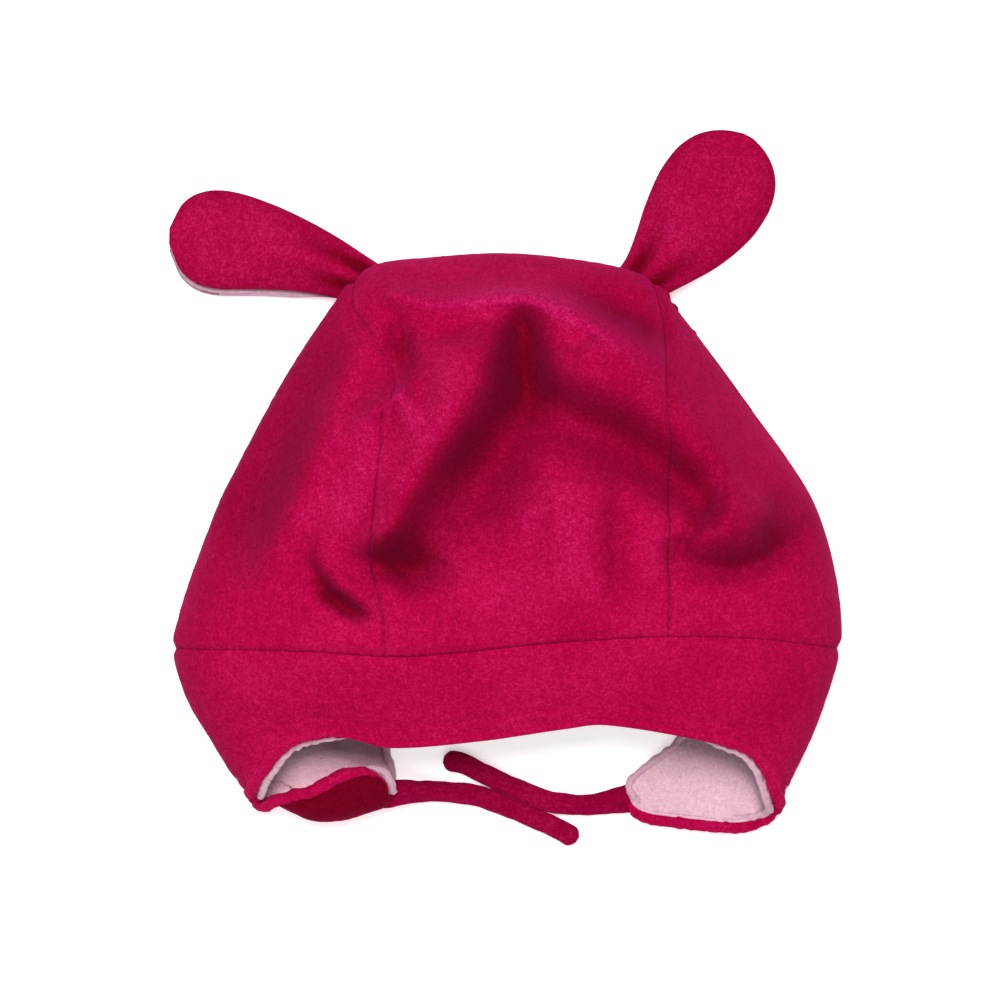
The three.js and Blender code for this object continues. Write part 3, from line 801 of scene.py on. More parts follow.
FINISHES = {
    Finish.FLEECE: FleeceFinish(
        name="hot_pink_fleece",
        base=(0.44, 0.001, 0.052),
        tips=(0.66, 0.014, 0.14),
        dark_grain_and_shade=(0.26, 0, 0.028),
    ),
    Finish.LINING: FleeceFinish(
        name="pale_pink_lining",
        base=(0.78, 0.47, 0.56),
        tips=(0.9, 0.68, 0.75),
        dark_grain_and_shade=(0.6, 0.32, 0.42),
        bloom=(1, 0.9, 0.95),
        # Painted shade in grey-lilac, and painted light that brightens the lining.
        shade=(0.5, 0.5, 0.58),
        painted_highlight=(1.28, 1.24, 1.24),
    ),
    Finish.TIE: FleeceFinish(
        name="deep_pink_tie", base=(0.29, 0, 0.036), tips=(0.44, 0.01, 0.085), dark_grain_and_shade=(0.16, 0, 0.02)
    ),
}


class Wardrobe:
    """Makes each finish's material once."""

    def __init__(self) -> None:
        """Builds the materials."""
        self.materials = {finish: FINISHES[finish].material() for finish in Finish}

    def dress(self, piece: bpy.types.Object, finish: Finish) -> None:
        """Gives a piece its finish's material."""
        piece.data.materials.append(self.materials[finish])


Surface = Callable[[Array, Array], Layer]
# Gives a piece's painted shade and painted highlight for shares across and up.
PaintedLight = Callable[[Array, Array], tuple[Array, Array]]


@dataclass(frozen=True)
class Cloth:
    """A layer of cloth: a grid bent to a surface, with a wall under it."""

    columns: int
    rows: int
    wall: float
    pile: float = 0.16
    pile_grain: float = 2.4
    full_wall_width: float = 22.0
    thinnest: float = 0.04

    def make(self, name: str, surface: Surface, painted_light: PaintedLight | None = None) -> bpy.types.Object:
        """Builds the layer.

        Args:
            name: the new object's name.
            surface: gives points, outward directions and depths for shares across and up.
            painted_light: more painted shade and painted highlight, besides those of the front's folds.

        Returns:
            The new object, without materials.
        """
        bm, shares = grid(self.columns, self.rows)
        points, outward, depth = surface(shares[:, 0], shares[:, 1])
        depth = depth + self.pile * noise_at(points, self.pile_grain)
        bend(bm, points - outward * depth[:, None])
        piece = link(name, bm)
        # The front's painted shade and painted highlight go only on faces that look up.
        ahead = outward[:, 2] > 0
        dark_grain_and_shade, painted_highlight = FORM.painted_light(points[:, 0], points[:, 1], outward)
        painted_marks = [np.where(ahead, dark_grain_and_shade, 0.0), np.where(ahead, painted_highlight, 0.0)]
        if painted_light is not None:
            own = painted_light(shares[:, 0], shares[:, 1])
            painted_marks = [np.maximum(kept, added) for kept, added in zip(painted_marks, own)]
        mark(piece, SHADE_MARK, painted_marks[0])
        mark(piece, HIGHLIGHT_MARK, painted_marks[1])
        self.thin(piece, add_wall(piece, self.wall), shares, points)
        return piece

    def thin(
        self, piece: bpy.types.Object, wall: bpy.types.Modifier, shares: Array, points: Array
    ) -> None:
        """Thins the wall along the rows where the piece comes to a point.

        Args:
            piece: the object with the wall.
            wall: its Solidify modifier.
            shares: the grid's shares across and up, one pair a vertex.
            points: the vertices' places.
        """
        row = np.rint(shares[:, 1] * self.rows).astype(int)
        order = np.lexsort((shares[:, 0], row))
        lines = points[order].reshape(row.max() + 1, -1, 3)
        broad = np.linalg.norm(np.diff(lines, axis=1), axis=2).sum(axis=1)
        weights = np.clip(broad / (self.wall * self.full_wall_width), self.thinnest, 1)
        if weights.min() < 1:
            group = piece.vertex_groups.new(name="wall")
            for index, weight in enumerate(weights[row]):
                group.add([index], float(weight), "REPLACE")
            wall.vertex_group = group.name


@dataclass
class Crown:
    """The crown: a middle strip from the front over the top to the back, and two side panels."""

    wardrobe: Wardrobe
    strip: Cloth = Cloth(84, 210, 2.3)
    panel: Cloth = Cloth(84, 110, 2.3)
    front_columns: float = 0.6
    panel_rise: float = 0.996
    seam_depth: float = 1.2
    seam_width: float = 2.0
    span_up: float = 125.0
    least_span: float = 2.0

    def seam_point(self, seams: Sequence[SideRow], flank: Flank, rise: Array) -> tuple[Array, Array]:
        """Points of a panel seam; rise is the share of the way from the band to the top."""
        x = read(seams, flank.value, lerp(SEAM_Y, SEAM_END_Y, rise))
        foot = FORM.seam(x) if seams is PANEL_SEAMS else SEAM_Y
        return x, lerp(foot, FORM.top(x), rise)

    def seam_dip(self, from_panel_seam: Array, from_band: Array) -> Array:
        """How deep the cloth dips where it is sewn to its neighbours."""
        dip = self.seam_depth * bell(from_panel_seam, self.seam_width)
        return np.maximum(dip, self.seam_depth * bell(from_band, self.seam_width))

    def strip_surface(self, u: Array, v: Array) -> Layer:
        """The middle strip: v runs up the front, over the top fold at one half, and down the back.

        Args:
            u: the shares across.
            v: the shares up.

        Returns:
            The points, their outward directions and how deep the cloth dips there.
        """
        front = v <= 0.5
        rise = 1 - FORM.rolled(1 - np.where(front, 2 * v, 2 - 2 * v), self.span_up)
        layers = []
        for seams, is_front in ((PANEL_SEAMS, True), (BACK_SEAMS, False)):
            left, _ = self.seam_point(seams, Flank.LEFT, rise)
            right, _ = self.seam_point(seams, Flank.RIGHT, rise)
            x = lerp(left, right, u)
            foot = FORM.seam(x) if is_front else np.full_like(x, SEAM_Y)
            y = lerp(foot, FORM.top(x), rise)
            points, outward = FORM.on_layer(x, y, is_front)
            aside = np.minimum(u, 1 - u) * (right - left)
            layers.append((points, outward, self.seam_dip(aside, y - foot)))
        return self.choose(front, layers)

    def panel_surface(self, flank: Flank) -> Surface:
        """A side panel's surface, from the front seam round the side fold to the back seam.

        Args:
            flank: which side it is on.

        Returns:
            The surface.
        """

        def surface(u: Array, v: Array) -> Layer:
            """The panel's surface.

            Args:
                u: the shares across.
                v: the shares up.

            Returns:
                The points, their outward directions and how deep the cloth dips there.
            """
            from_front = 1 - u if flank is Flank.LEFT else u
            front = from_front <= self.front_columns
            rise = 1 - FORM.rolled(1 - v * self.panel_rise, self.span_up)
            fold_y = lerp(SEAM_Y, CORNER_Y, rise)
            fold_x = FORM.side(flank, fold_y)
            layers = []
            for seams, is_front in ((PANEL_SEAMS, True), (BACK_SEAMS, False)):
                seam_x, seam_y = self.seam_point(seams, flank, rise)
                span = np.maximum(np.abs(seam_x - fold_x), self.least_span)
                if is_front:
                    out = 1 - from_front / self.front_columns
                else:
                    out = (from_front - self.front_columns) / (1 - self.front_columns)
                way = FORM.rolled(np.clip(out, 0, 1), span)
                x = lerp(fold_x, seam_x, way)
                y = lerp(fold_y, seam_y, way)
                foot = FORM.seam(x) if is_front else SEAM_Y
                if is_front:
                    y = y + (foot - lerp(SEAM_Y, FORM.seam(seam_x), way)) * (1 - rise)
                points, outward = FORM.on_layer(x, y, is_front)
                layers.append((points, outward, self.seam_dip((1 - way) * span, y - foot)))
            return self.choose(front, layers)

        return surface

    @staticmethod
    def choose(front: Array, layers: list[Layer]) -> Layer:
        """Takes each point from the front's layer or the back's."""
        return tuple(pick(front, ahead, behind) for ahead, behind in zip(*layers))

    def build(self) -> None:
        """Builds and dresses the three pieces."""
        plans = (
            ("crown_centre", self.strip, self.strip_surface),
            ("crown_left", self.panel, self.panel_surface(Flank.LEFT)),
            ("crown_right", self.panel, self.panel_surface(Flank.RIGHT)),
        )
        for node, cloth, surface in plans:
            piece = cloth.make(f"{node}_fleece", surface)
            self.wardrobe.dress(piece, Finish.FLEECE)
            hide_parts(node)
            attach(piece, "root")
            LOG.info("%s: a piece of the crown", piece.name)


@dataclass
class Band:
    """The band with both ear flaps, and the pale lining under it."""

    wardrobe: Wardrobe
    front_columns: int = 170
    back_columns: int = 90
    rows: int = 64
    wall: float = 1.7
    lining_wall: float = 1.6
    lining_gap: float = 0.1
    tuck: float = 1.3
    curl_radius: float = 6.5
    curl_turn: float = 2.8
    rim_zone: float = 12.0
    rim_rows: float = 8 / 13
    turn_share: float = 0.78
    front_span: float = 220.0
    back_span: float = 110.0
    lining_top: float = 0.97
    seam_depth: float = 1.9
    seam_width: float = 2.6
    edge_radius: float = 1.3
    spread: float = 0.6
    # Painted shade on the lining under the front rim, and how far it reaches.
    rim_shade: float = 0.8
    shade_reach: float = 9.0
    flap_lift: float = 4.5
    stitch_in: float = 6.8
    stitch_depth: float = 0.45
    stitch_width: float = 1.1
    lean: Pair = (0.1, 0.75)
    lift_zone: Pair = (80.0, 94.0)
    full_roll: float = 20.0
    pull_power: int = 3
    # Painted shade on the curled flap, and where the lining's painted shade and painted light fall.
    curl_shade: Pair = (0.9, 2.2)
    facing_up: float = 0.3
    rim_margin: float = 2.0
    lit_margin: float = 5.0

    @property
    def top_y(self) -> float:
        """Where the band starts at the side folds."""
        return SEAM_Y + self.tuck

    @property
    def columns(self) -> int:
        """All the columns, once round."""
        return self.front_columns + 2 * self.back_columns

    def height_share(self, down: Array) -> Array:
        """The share of the band's height at a row, with finer rows at the rim.

        Args:
            down: the shares of the rows from the seam.

        Returns:
            The shares of the height.
        """
        coarse = 1 - self.rim_rows
        above = down / coarse * self.turn_share
        below = lerp(self.turn_share, 1, (down - coarse) / self.rim_rows)
        return np.where(down < coarse, above, below)

    def fold_line(self, flank: Flank, down: Array) -> tuple[Array, Array]:
        """The band's side fold, from the seam to the flap's bottom."""
        foot = FRONT_RIM[0] if flank is Flank.LEFT else FRONT_RIM[-1]
        y = lerp(self.top_y, foot.y, self.height_share(down))
        return FORM.side(flank, y), y

    def front_layer(self, share: Array, down: Array) -> tuple[Array, ...]:
        """The front, from the left fold to the right one.

        Args:
            share: the shares of the way across.
            down: the shares of the rows from the seam.

        Returns:
            Points, outward directions, distances from the seam and from the rim, and curl.
        """
        across = FORM.rolled_across(share, self.front_span)
        way = self.height_share(down)
        left_x = FORM.side(Flank.LEFT, self.top_y)
        right_x = FORM.side(Flank.RIGHT, self.top_y)
        x0 = lerp(left_x, right_x, across)
        y0 = FORM.seam(x0) + self.tuck
        rim_x = read(FRONT_RIM, "x", across)
        rim_y = read(FRONT_RIM, "y", across)
        x = lerp(x0, rim_x, way)
        y = lerp(y0, rim_y, way)
        for flank, start_x, end, pull in (
            (Flank.LEFT, left_x, FRONT_RIM[0], 1 - across),
            (Flank.RIGHT, right_x, FRONT_RIM[-1], across),
        ):
            fold_x, fold_y = self.fold_line(flank, down)
            x = x + pull * (fold_x - lerp(start_x, end.x, way))
            y = y + pull * (fold_y - lerp(self.top_y, end.y, way))
        points, outward = FORM.on_layer(x, y, True)
        height = np.hypot(rim_x - x0, rim_y - y0)
        return points, outward, way * height, (1 - way) * height, np.zeros_like(way)

    def flap_run(self, flank: Flank, out: Array, down: Array) -> dict[str, Array]:
        """One column of the back with its flap: down the floor, then up and back round the curl.

        Args:
            flank: which flap it is.
            out: the shares of the way from the centre of the back to the fold.
            down: the shares of the rows from the seam.

        Returns:
            The places, the curl's shift, lift and angle, and the distances from the rim.
        """
        flap = LEFT_FLAP if flank is Flank.LEFT else RIGHT_FLAP
        end_x = read(flap, "x", out)
        end_y = read(flap, "y", out)
        roll = np.maximum(read(flap, "roll", out), 0)
        edge = FORM.side(flank, self.top_y)
        start_x = lerp(flap[0].x, edge, out**self.spread)
        start_y = self.top_y
        lean_x = lerp(start_x, end_x, self.lean[0])
        lean_y = lerp(start_y, end_y, self.lean[1])
        length = np.hypot(end_x - start_x, end_y - start_y)
        zone = self.rim_zone / length
        coarse = 1 - self.rim_rows
        run = np.maximum(down - coarse, 0) / self.rim_rows
        past = run * (self.rim_zone + roll) - self.rim_zone
        t = np.where(
            down < coarse,
            down / coarse * (1 - zone),
            1 + np.minimum(past, 0) / self.rim_zone * zone,
        )
        x = arc(start_x, lean_x, end_x, t)
        y = arc(start_y, lean_y, end_y, t)
        curled = np.maximum(past, 0)
        angle = np.minimum(curled / self.curl_radius, self.curl_turn)
        straight = curled - angle * self.curl_radius
        shift = -self.curl_radius * np.sin(angle) - straight * np.cos(angle)
        lift = self.curl_radius * (1 - np.cos(angle)) + straight * np.sin(angle)
        raised = smoothstep(-y, *self.lift_zone) * np.clip(roll / self.full_roll, 0, 1)
        lift = lift + self.flap_lift * raised
        shift = np.where(past > 0, shift, 0)
        from_rim = np.where(down < coarse, self.rim_zone + roll, (1 - run) * (self.rim_zone + roll))
        return {"x": x, "y": y, "shift": shift, "lift": lift, "angle": angle, "from_rim": from_rim}

    def back_layer(self, flank: Flank, share: Array, down: Array) -> tuple[Array, ...]:
        """Half of the back, with its flap.

        Args:
            flank: which half it is.
            share: the shares of the way from the centre of the back to the side fold.
            down: the shares of the rows from the seam.

        Returns:
            Points, outward directions, distances from the seam and from the rim, and curl.
        """
        out = 1 - FORM.rolled(1 - share, self.back_span)
        at = self.flap_run(flank, out, down)
        edge = self.flap_run(flank, np.ones_like(out), down)
        fold_x, fold_y = self.fold_line(flank, down)
        pull = out**self.pull_power
        x = at["x"] + pull * (fold_x - edge["x"])
        y = at["y"] + pull * (fold_y - edge["y"])
        points, outward = FORM.on_layer(x, y, False)
        points[:, 1] += at["shift"]
        points[:, 2] += at["lift"]
        turn = at["angle"]
        turned_y = np.cos(turn) * outward[:, 1] + np.sin(turn) * outward[:, 2]
        turned_z = -np.sin(turn) * outward[:, 1] + np.cos(turn) * outward[:, 2]
        outward = np.stack([outward[:, 0], turned_y, turned_z], 1)
        return points, outward, self.top_y - y, at["from_rim"], turn

    def whole(self, u: Array, v: Array) -> tuple[Array, ...]:
        """The whole band, once round from the centre of the back over the left fold.

        Args:
            u: the shares of the way round.
            v: the shares of the way up from the rim.

        Returns:
            Points, outward directions, distances from the seam and from the rim, and curl.
        """
        column = u * self.columns
        down = 1 - v
        back = self.back_columns
        left = self.back_layer(Flank.LEFT, np.clip(column / back, 0, 1), down)
        right = self.back_layer(Flank.RIGHT, np.clip((self.columns - column) / back, 0, 1), down)
        front = self.front_layer(np.clip((column - back) / self.front_columns, 0, 1), down)
        in_left = column < back
        in_right = column > back + self.front_columns
        return tuple(
            pick(in_left, at_left, pick(in_right, at_right, ahead))
            for at_left, ahead, at_right in zip(left, front, right)
        )

    def rounding(self, from_edge: Array) -> Array:
        """How far the cloth's face turns in at its edge."""
        left = np.clip(self.edge_radius - from_edge, 0, self.edge_radius)
        return self.edge_radius - np.sqrt(self.edge_radius**2 - left**2)

    def surface(self, u: Array, v: Array) -> Layer:
        """The outer fleece, with its seam, stitches and rounded rim.

        Args:
            u: the shares round the band.
            v: the shares up the band.

        Returns:
            The points, their outward directions and how deep the cloth dips there.
        """
        points, outward, from_seam, from_rim, turn = self.whole(u, v)
        depth = self.seam_depth * bell(from_seam, self.seam_width) + self.rounding(from_rim)
        stitched = self.stitch_depth * bell(from_rim - self.stitch_in, self.stitch_width)
        return points, outward, depth + np.where(turn > 0, 0, stitched)

    def curl_painted_shade(self, u: Array, v: Array) -> tuple[Array, Array]:
        """Painted shade on the outer face of the flap where it curls over and turns downwards."""
        dark_grain_and_shade = smoothstep(self.whole(u, v)[-1], *self.curl_shade)
        return dark_grain_and_shade, np.zeros_like(dark_grain_and_shade)

    def lining_painted_light(self, u: Array, v: Array) -> tuple[Array, Array]:
        """Painted shade on the lining just under the front rim, and painted light further in on the
        left flap, where the front casts its shadow.

        Args:
            u: the shares round the band.
            v: the shares up the band.

        Returns:
            How much painted shade and how much painted light each point gets, from 0 to 1.
        """
        points, outward, *_ = self.whole(u, v)
        under = points[:, 1] - read(RIM_LINE, "y", points[:, 0])
        behind = outward[:, 2] < self.facing_up
        # Painted shade near the rim; painted light further in, on the left flap only.
        shade = self.rim_shade * smoothstep(under, -self.shade_reach, -self.rim_margin)
        lit = 1 - smoothstep(under, -self.shade_reach - self.rim_margin, -self.lit_margin)
        left = behind & (points[:, 0] < 0)
        return np.where(behind, shade, 0), np.where(left, lit, 0)

    def lining_surface(self, u: Array, v: Array) -> Layer:
        """The lining, which lies under the outer fleece."""
        points, outward, _, from_rim, _ = self.whole(u, np.minimum(v, self.lining_top))
        return points, outward, self.wall + self.lining_gap + self.rounding(from_rim)

    def build(self) -> None:
        """Builds and dresses the band and its lining."""
        plans = (
            ("band", self.wall, self.surface, self.curl_painted_shade, Finish.FLEECE),
            ("band_lining", self.lining_wall, self.lining_surface, self.lining_painted_light, Finish.LINING),
        )
        for node, wall, surface, painted_light, finish in plans:
            piece = Cloth(self.columns, self.rows, wall).make(f"{node}_fleece", surface, painted_light)
            self.wardrobe.dress(piece, finish)
            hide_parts(node)
            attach(piece, "root")
            LOG.info("%s: once round the band and its flaps", piece.name)


@dataclass
class Hem:
    """The rolled edges of the face opening: the band's own hem, and the lining that rolls out by it."""

    wardrobe: Wardrobe
    band: Band
    steps: int = 720
    sides: int = 18
    front_radius: float = 1.35
    flap_radius: float = 2.1
    lining_radius: float = 1.3
    roll_out: float = 1.1
    roll_in: float = -1.6
    hem_out: float = 0.2
    hidden_radius: float = 0.8
    reach: int = 3
    crumble: float = 0.55
    crumble_grain: float = 1.9
    crumble_seed: float = 7.0
    roll_shade: float = 0.3
    row_above: float = 0.03
    flap_behind: Pair = (0.34, 0.44)
    flap_ahead: Pair = (0.2, 0.26)
    inner_start: Pair = (0.36, 0.44)
    inner_end: Pair = (0.58, 0.68)
    fold_zone: Pair = (0.8, 0.99)

    def from_back(self, u: Array) -> Array:
        """How far places round the rim are from the back's centre; 1 is at a side fold."""
        column = u * self.band.columns
        return np.minimum(column, self.band.columns - column) / self.band.back_columns

    def shares(self, u: Array) -> tuple[Array, Array]:
        """How near each place round the rim is to a flap, and to the flap's inner edge.

        Args:
            u: the places, from 0 to 1 round the rim.

        Returns:
            Both shares, from 0 to 1.
        """
        behind = self.from_back(u)
        ahead = (behind - 1) * self.band.back_columns / self.band.front_columns
        in_back = smoothstep(behind, *self.flap_behind)
        flap = np.where(behind < 1, in_back, 1 - smoothstep(ahead, *self.flap_ahead))
        inner = smoothstep(behind, *self.inner_start) * (1 - smoothstep(behind, *self.inner_end))
        return flap, np.where(behind < 1, inner, 0)

    def tube(
        self, name: str, radius: Array, out: Array, depth: Array, finish: Finish
    ) -> bpy.types.Object:
        """A roll of cloth along the whole rim.

        Args:
            name: the new object's name.
            radius: the roll's radius at each step.
            out: how far its middle lies beyond the cloth's edge.
            depth: how far its middle lies under the cloth's outer face.
            finish: its finish.

        Returns:
            The new object.
        """
        u = np.arange(self.steps) / self.steps
        edge, outward, *_ = self.band.whole(u, np.zeros_like(u))
        above, *_ = self.band.whole(u, np.full_like(u, self.row_above))
        run = np.roll(edge, -self.reach, axis=0) - np.roll(edge, self.reach, axis=0)
        beyond = np.cross(run, outward)
        beyond = unit(beyond * np.sign(np.sum(beyond * (edge - above))))
        middle = edge + beyond * out[:, None] - outward * depth[:, None]
        bm, shares = grid(self.steps, self.sides)
        step = np.rint(shares[:, 0] * self.steps).astype(int) % self.steps
        turn = (np.rint(shares[:, 1] * self.sides) % self.sides) * (2 * math.pi / self.sides)
        ring = np.cos(turn)[:, None] * outward[step] + np.sin(turn)[:, None] * beyond[step]
        points = middle[step] + radius[step][:, None] * ring
        flap, _ = self.shares(u)
        lump = self.crumble * flap[step] * noise_at(points, self.crumble_grain, self.crumble_seed)
        points = points + ring * lump[:, None]
        points[:, 2] = np.maximum(points[:, 2], FLOOR_CLEARANCE)
        bend(bm, points)
        close_tube(bm)
        piece = link(name, bm)
        self.wardrobe.dress(piece, finish)
        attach(piece, "root")
        LOG.info("%s: once round the face opening", piece.name)
        return piece

    def build(self) -> None:
        """Builds the hem and the lining's roll."""
        u = np.arange(self.steps) / self.steps
        flap, inner = self.shares(u)
        from_back = self.from_back(u)
        behind = from_back < 1
        radius = lerp(lerp(self.front_radius, self.flap_radius, flap), self.hidden_radius, inner)
        out = np.where(behind, lerp(self.hem_out, -self.hidden_radius, inner), self.hem_out - radius)
        self.tube("band_hem", radius, out, np.full_like(u, self.band.wall / 2), Finish.FLEECE)
        under = np.full_like(u, self.band.wall + self.lining_radius)
        by_the_fold = smoothstep(from_back, *self.fold_zone)
        rolled = np.where(behind, np.maximum(inner, by_the_fold), flap)
        out = lerp(np.where(behind, 2 * self.roll_in, self.roll_in), self.roll_out, rolled)
        radius = np.full_like(u, self.lining_radius)
        roll = self.tube("lining_roll", radius, out, under, Finish.LINING)
        # Painted shade, even all along the lining's roll.
        mark(roll, SHADE_MARK, np.full(len(roll.data.vertices), self.roll_shade))


@dataclass
class Ear:
    """A teardrop ear of two soft halves, gathered at its root behind the crown's corner."""

    wardrobe: Wardrobe
    flank: Flank
    root: Pair
    lean: Pair
    tip: Pair
    shape: Sequence[WidthRow]
    sliver: float = 0.0
    back_root: float = 0.72
    root_z: float = 9.0
    lie_z: float = 4.2
    front_thick: float = 4.4
    back_thick: float = 3.4
    edge: float = 0.9
    columns: int = 90
    rows: int = 56
    row_power: float = 1.15
    spread_zone: Pair = (0.1, 0.42)
    sink_zone: Pair = (0.1, 0.5)
    tip_fill: float = 5.0
    tip_dome: float = 0.15
    gather_reach: float = 0.3
    gather_rise: float = 0.9
    pleats: float = 7.0
    thinnest: float = 0.6
    # Painted shade over the whole ear, in the pleats at its root and towards its edges, and painted
    # highlight along its domed middle.
    shade_all: float = 0.2
    shade_pleats: float = 0.6
    shade_edge: float = 0.3
    edge_power: int = 4
    highlight_middle: float = 0.5
    highlight_zone: Pair = (0.2, 0.5)

    def place(self, along: Array, across: Array) -> Array:
        """Points of the ear's middle surface, from root to tip and from -1 to 1 across.

        Args:
            along: the shares of the way from the root to the tip.
            across: the shares of the way from the middle to an edge.

        Returns:
            The points, one a row.
        """
        root, lean, tip = (np.array(p, float) for p in (self.root, self.lean, self.tip))
        a = along[:, None]
        spine = arc(root, lean, tip, a)
        heading = unit(2 * (1 - a) * (lean - root) + 2 * a * (tip - lean))
        half = read(self.shape, "width", along) * across
        x = spine[:, 0] - heading[:, 1] * half
        y = spine[:, 1] + heading[:, 0] * half
        z = lerp(self.root_z, self.lie_z, smoothstep(along, *self.sink_zone))
        return np.stack([x, y, z], 1)

    def half(self, name: str, thick: float, up: int, shift_y: float) -> bpy.types.Object:
        """One half of the ear.

        Args:
            name: the new object's name.
            thick: how thick it is in its middle.
            up: 1 for the half that faces up, -1 for the one that faces the floor.
            shift_y: how far it lies off the other half.

        Returns:
            The new object.
        """
        bm, shares = grid(self.columns, self.rows)
        along = np.sin(shares[:, 0] * math.pi / 2) ** self.row_power
        across = np.sin((shares[:, 1] - 0.5) * math.pi)
        if up < 0:
            across = across * lerp(self.back_root, 1, smoothstep(along, *self.spread_zone))
        points = self.place(along, across)
        fullness = np.minimum(1, self.tip_fill * (1 - along) + self.tip_dome)
        dome = np.sqrt(np.maximum(1 - across**2, 0)) * fullness
        lift = self.edge + (thick - self.edge) * dome
        gathered = bell(along, self.gather_reach)
        gather = gathered * self.gather_rise * np.cos(across * self.pleats)
        lift = np.maximum(lift + gather * dome, self.thinnest)
        lift = lift + Cloth.pile * noise_at(points, Cloth.pile_grain)
        points[:, 1] += shift_y
        points[:, 2] = np.maximum(points[:, 2] + up * lift, FLOOR_CLEARANCE)
        bend(bm, points)
        if up < 0:
            bmesh.ops.reverse_faces(bm, faces=bm.faces)
        piece = link(name, bm)
        # Painted shade in the pleats and towards the edges, painted highlight on the dome.
        pleats = self.shade_pleats * gathered * (1 - np.cos(across * self.pleats))
        dark_grain_and_shade = self.shade_all + pleats + self.shade_edge * np.abs(across) ** self.edge_power
        mark(piece, SHADE_MARK, np.clip(dark_grain_and_shade, 0, 1))
        mark(piece, HIGHLIGHT_MARK, self.highlight_middle * dome * smoothstep(along, *self.highlight_zone))
        add_wall(piece, self.edge)
        return piece

    def build(self) -> None:
        """Builds and dresses both halves."""
        name = f"ear_{self.flank.value}"
        halves = (
            (f"{name}_front", self.front_thick, 1, 0.0, Finish.FLEECE),
            (f"{name}_back", self.back_thick, -1, -self.sliver, Finish.LINING),
        )
        for node, thick, up, shift_y, finish in halves:
            piece = self.half(f"{node}_fleece", thick, up, shift_y)
            self.wardrobe.dress(piece, finish)
            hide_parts(node)
            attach(piece, "root")
            LOG.info("%s: half of an ear", piece.name)


@dataclass
class Tie:
    """A short chin tie of fleece, laid on the floor."""

    wardrobe: Wardrobe
    flank: Flank
    route: Sequence[RoutePoint]
    width: float = 6.9
    thick: float = 4.4
    tuck: float = 4.0
    root_thick: float = 0.4
    root_drop: float = 1.1
    round_end: float = 3.0
    crease: float = 0.16
    crease_width: float = 0.35
    crease_sway: float = 0.7
    crease_run: float = 9.0
    blunt: float = 0.95
    root_zone: Pair = (0.8, 2.0)
    uneven: float = 0.07
    uneven_grain: float = 4.0
    uneven_seed: float = 3.0
    steps: int = 160
    sides: int = 36

    def centreline(self) -> Array:
        """The tie's smooth centreline.

        Returns:
            Evenly spaced points, in millimetres.
        """
        points = np.array(self.route, float)
        reach = reach_along(points)
        slopes = np.gradient(points, reach, axis=0)
        at = np.linspace(0, reach[-1], self.steps + 1)
        i = np.clip(np.searchsorted(reach, at) - 1, 0, len(reach) - 2)
        step = (reach[i + 1] - reach[i])[:, None]
        t = (at - reach[i])[:, None] / step
        start = points[i] * (2 * t**3 - 3 * t**2 + 1) + step * slopes[i] * (t**3 - 2 * t**2 + t)
        end = points[i + 1] * (3 * t**2 - 2 * t**3) + step * slopes[i + 1] * (t**3 - t**2)
        return start + end

    def seam_turn(self, reach: Array) -> Array:
        """Where the crease of the folded strip runs round the tie, which wanders along it."""
        sway = self.crease_sway * np.sin(reach / self.crease_run + len(self.flank.value))
        return math.pi / 2 + sway

    def build(self) -> None:
        cord = self.centreline()
        first = cord[0] + (cord[0] - cord[1]) / np.linalg.norm(cord[0] - cord[1]) * self.tuck
        first[2] = cord[0][2] - self.root_drop
        line = np.concatenate([first[None], cord])
        heading = unit(np.gradient(line, axis=0))
        aside = unit(np.cross(heading, (0, 0, 1)))
        upward = np.cross(aside, heading)
        last = len(line) - 1
        bm, shares = grid(last, self.sides)
        step = np.rint(shares[:, 0] * last).astype(int)
        turn = shares[:, 1] * 2 * math.pi
        reach = reach_along(line)
        left = np.clip(1 - (reach[-1] - reach) / self.round_end, 0, self.blunt)
        shrink = np.sqrt(1 - left**2)[step]
        broad = read(TIE_WIDTH, "width", reach / reach[-1])[step] * shrink
        seam = 1 - self.crease * bell(turn - self.seam_turn(reach)[step], self.crease_width)
        aside_way = (self.width / 2 * broad * seam * np.cos(turn))[:, None] * aside[step]
        start, full = self.root_zone
        root = lerp(self.root_thick, 1, smoothstep(reach, self.tuck * start, self.tuck * full))[step]
        up_way = (self.thick / 2 * shrink * root * seam * np.sin(turn))[:, None] * upward[step]
        points = line[step] + aside_way + up_way
        swell = self.uneven * noise_at(points, self.uneven_grain, self.uneven_seed)
        points = points + (aside_way + up_way) * swell[:, None]
        points[:, 2] = np.maximum(points[:, 2], FLOOR_CLEARANCE)
        bend(bm, points)
        close_tube(bm)
        piece = link(f"tie_{self.flank.value}_fleece", bm)
        self.wardrobe.dress(piece, Finish.TIE)
        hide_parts(f"tie_{self.flank.value}")
        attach(piece, "root")


@dataclass(frozen=True)
class Lamp:
    """A soft light aimed at the hat's middle; place and size in millimetres, power in watts."""

    name: str
    place: tuple[float, float, float]
    size: float
    power: float


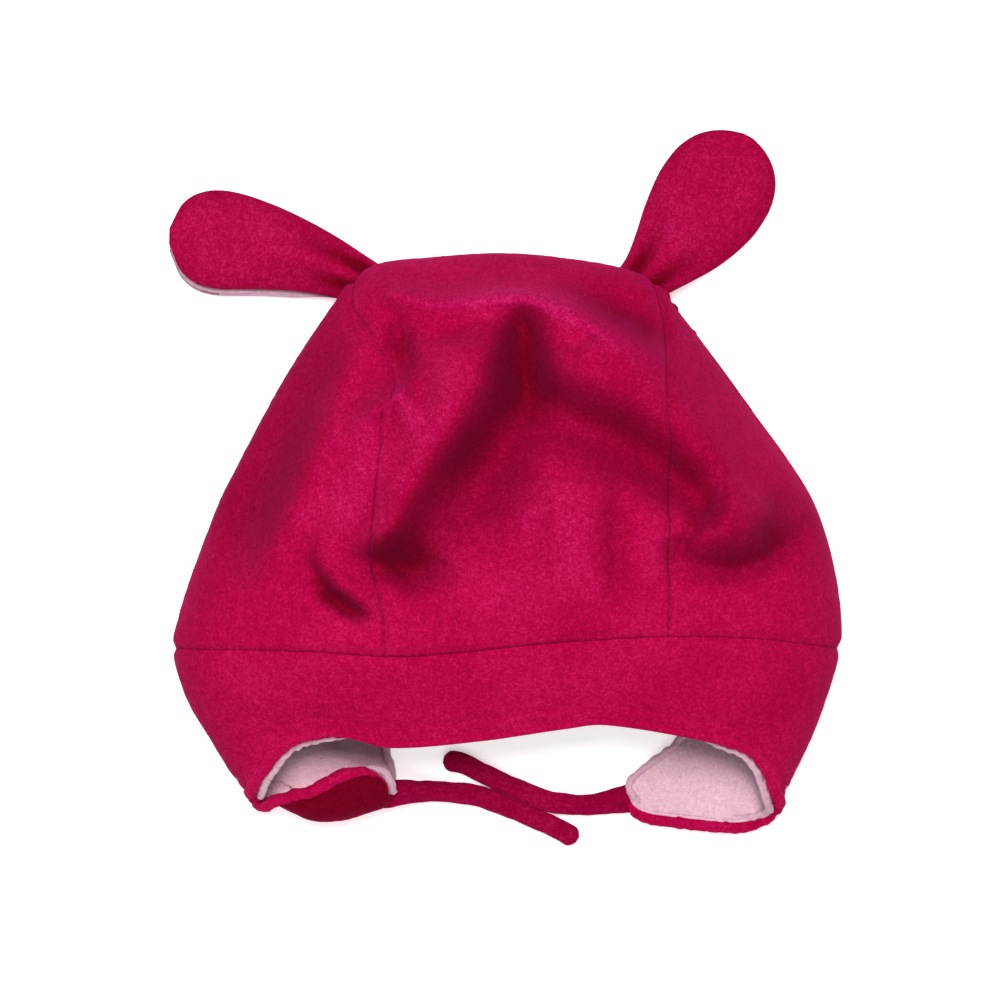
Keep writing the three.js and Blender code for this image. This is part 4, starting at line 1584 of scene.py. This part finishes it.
@dataclass
class Studio:
    """The floor, the lights and the camera straight above the hat."""

    centre: Pair = (-1.8, -6.1)
    plane: float = 14.0
    distance: float = 1800.0
    field: float = 330.0
    sensor: float = 36.0
    view_end: float = 20000.0
    floor_side: float = 6000.0
    floor_colour: Colour = (0.96, 0.96, 0.96)
    floor_roughness: float = 0.9
    floor_glow: float = 0.45
    sky_strength: float = 0.36
    lamps: tuple[Lamp, ...] = (
        Lamp("key", (-90, 470, 1740), 650, 26),
        Lamp("fill", (60, -900, 1500), 900, 6.5),
    )

    def camera(self) -> None:
        """Puts the camera where the photograph was taken from."""
        data = bpy.data.cameras.new("camera")
        data.sensor_width = self.sensor
        data.lens = self.sensor * self.distance / self.field
        data.clip_end = self.view_end * MM
        camera = bpy.data.objects.new("camera", data)
        camera.location = Vector((*self.centre, self.plane + self.distance)) * MM
        bpy.context.scene.collection.objects.link(camera)
        bpy.context.scene.camera = camera

    def floor(self) -> None:
        """Lays the plain pale floor."""
        bm = bmesh.new()
        bmesh.ops.create_grid(bm, x_segments=1, y_segments=1, size=self.floor_side * MM / 2)
        floor = link("floor", bm)
        made = bpy.data.materials.new("pale_floor")
        made.use_nodes = True
        shader = made.node_tree.nodes["Principled BSDF"]
        set_inputs(shader, {
            "Base Color": (*self.floor_colour, 1),
            "Roughness": self.floor_roughness,
            "Emission Color": (1, 1, 1, 1),
            "Emission Strength": self.floor_glow,
        })
        floor.data.materials.append(made)

    def lights(self) -> None:
        """Hangs the soft lights; the main one leans in from the picture's top."""
        for lamp in self.lamps:
            data = bpy.data.lights.new(lamp.name, "AREA")
            data.size = lamp.size * MM
            data.energy = lamp.power
            light = bpy.data.objects.new(lamp.name, data)
            light.location = Vector(lamp.place) * MM
            light.rotation_euler = (-light.location).to_track_quat("-Z", "Y").to_euler()
            bpy.context.scene.collection.objects.link(light)
        world = bpy.data.worlds.new("soft_room")
        world.use_nodes = True
        sky = world.node_tree.nodes["Background"]
        set_inputs(sky, {"Color": (1, 1, 1, 1), "Strength": self.sky_strength})
        bpy.context.scene.world = world
        bpy.context.scene.view_settings.view_transform = "Standard"

    def build(self) -> None:
        """Sets up the camera, floor and lights."""
        self.camera()
        self.floor()
        self.lights()


def main() -> None:
    """Builds the whole scene in order."""
    logging.basicConfig(level=logging.INFO, format="%(name)s: %(message)s")
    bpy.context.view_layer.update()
    wardrobe = Wardrobe()
    Studio().build()
    Tie(wardrobe, Flank.LEFT, TIE_LEFT_ROUTE).build()
    Tie(wardrobe, Flank.RIGHT, TIE_RIGHT_ROUTE).build()
    Crown(wardrobe).build()
    band = Band(wardrobe)
    band.build()
    Hem(wardrobe, band).build()
    Ear(
        wardrobe,
        Flank.LEFT,
        root=(-42.5, 63.5),
        lean=(-72, 80.5),
        tip=(-111.5, 81.5),
        shape=LEFT_EAR_SHAPE,
        sliver=2.2,
    ).build()
    Ear(
        wardrobe,
        Flank.RIGHT,
        root=(40, 61.5),
        lean=(63, 83),
        tip=(80.8, 114.5),
        shape=RIGHT_EAR_SHAPE,
    ).build()


if __name__ == "__main__":
    main()
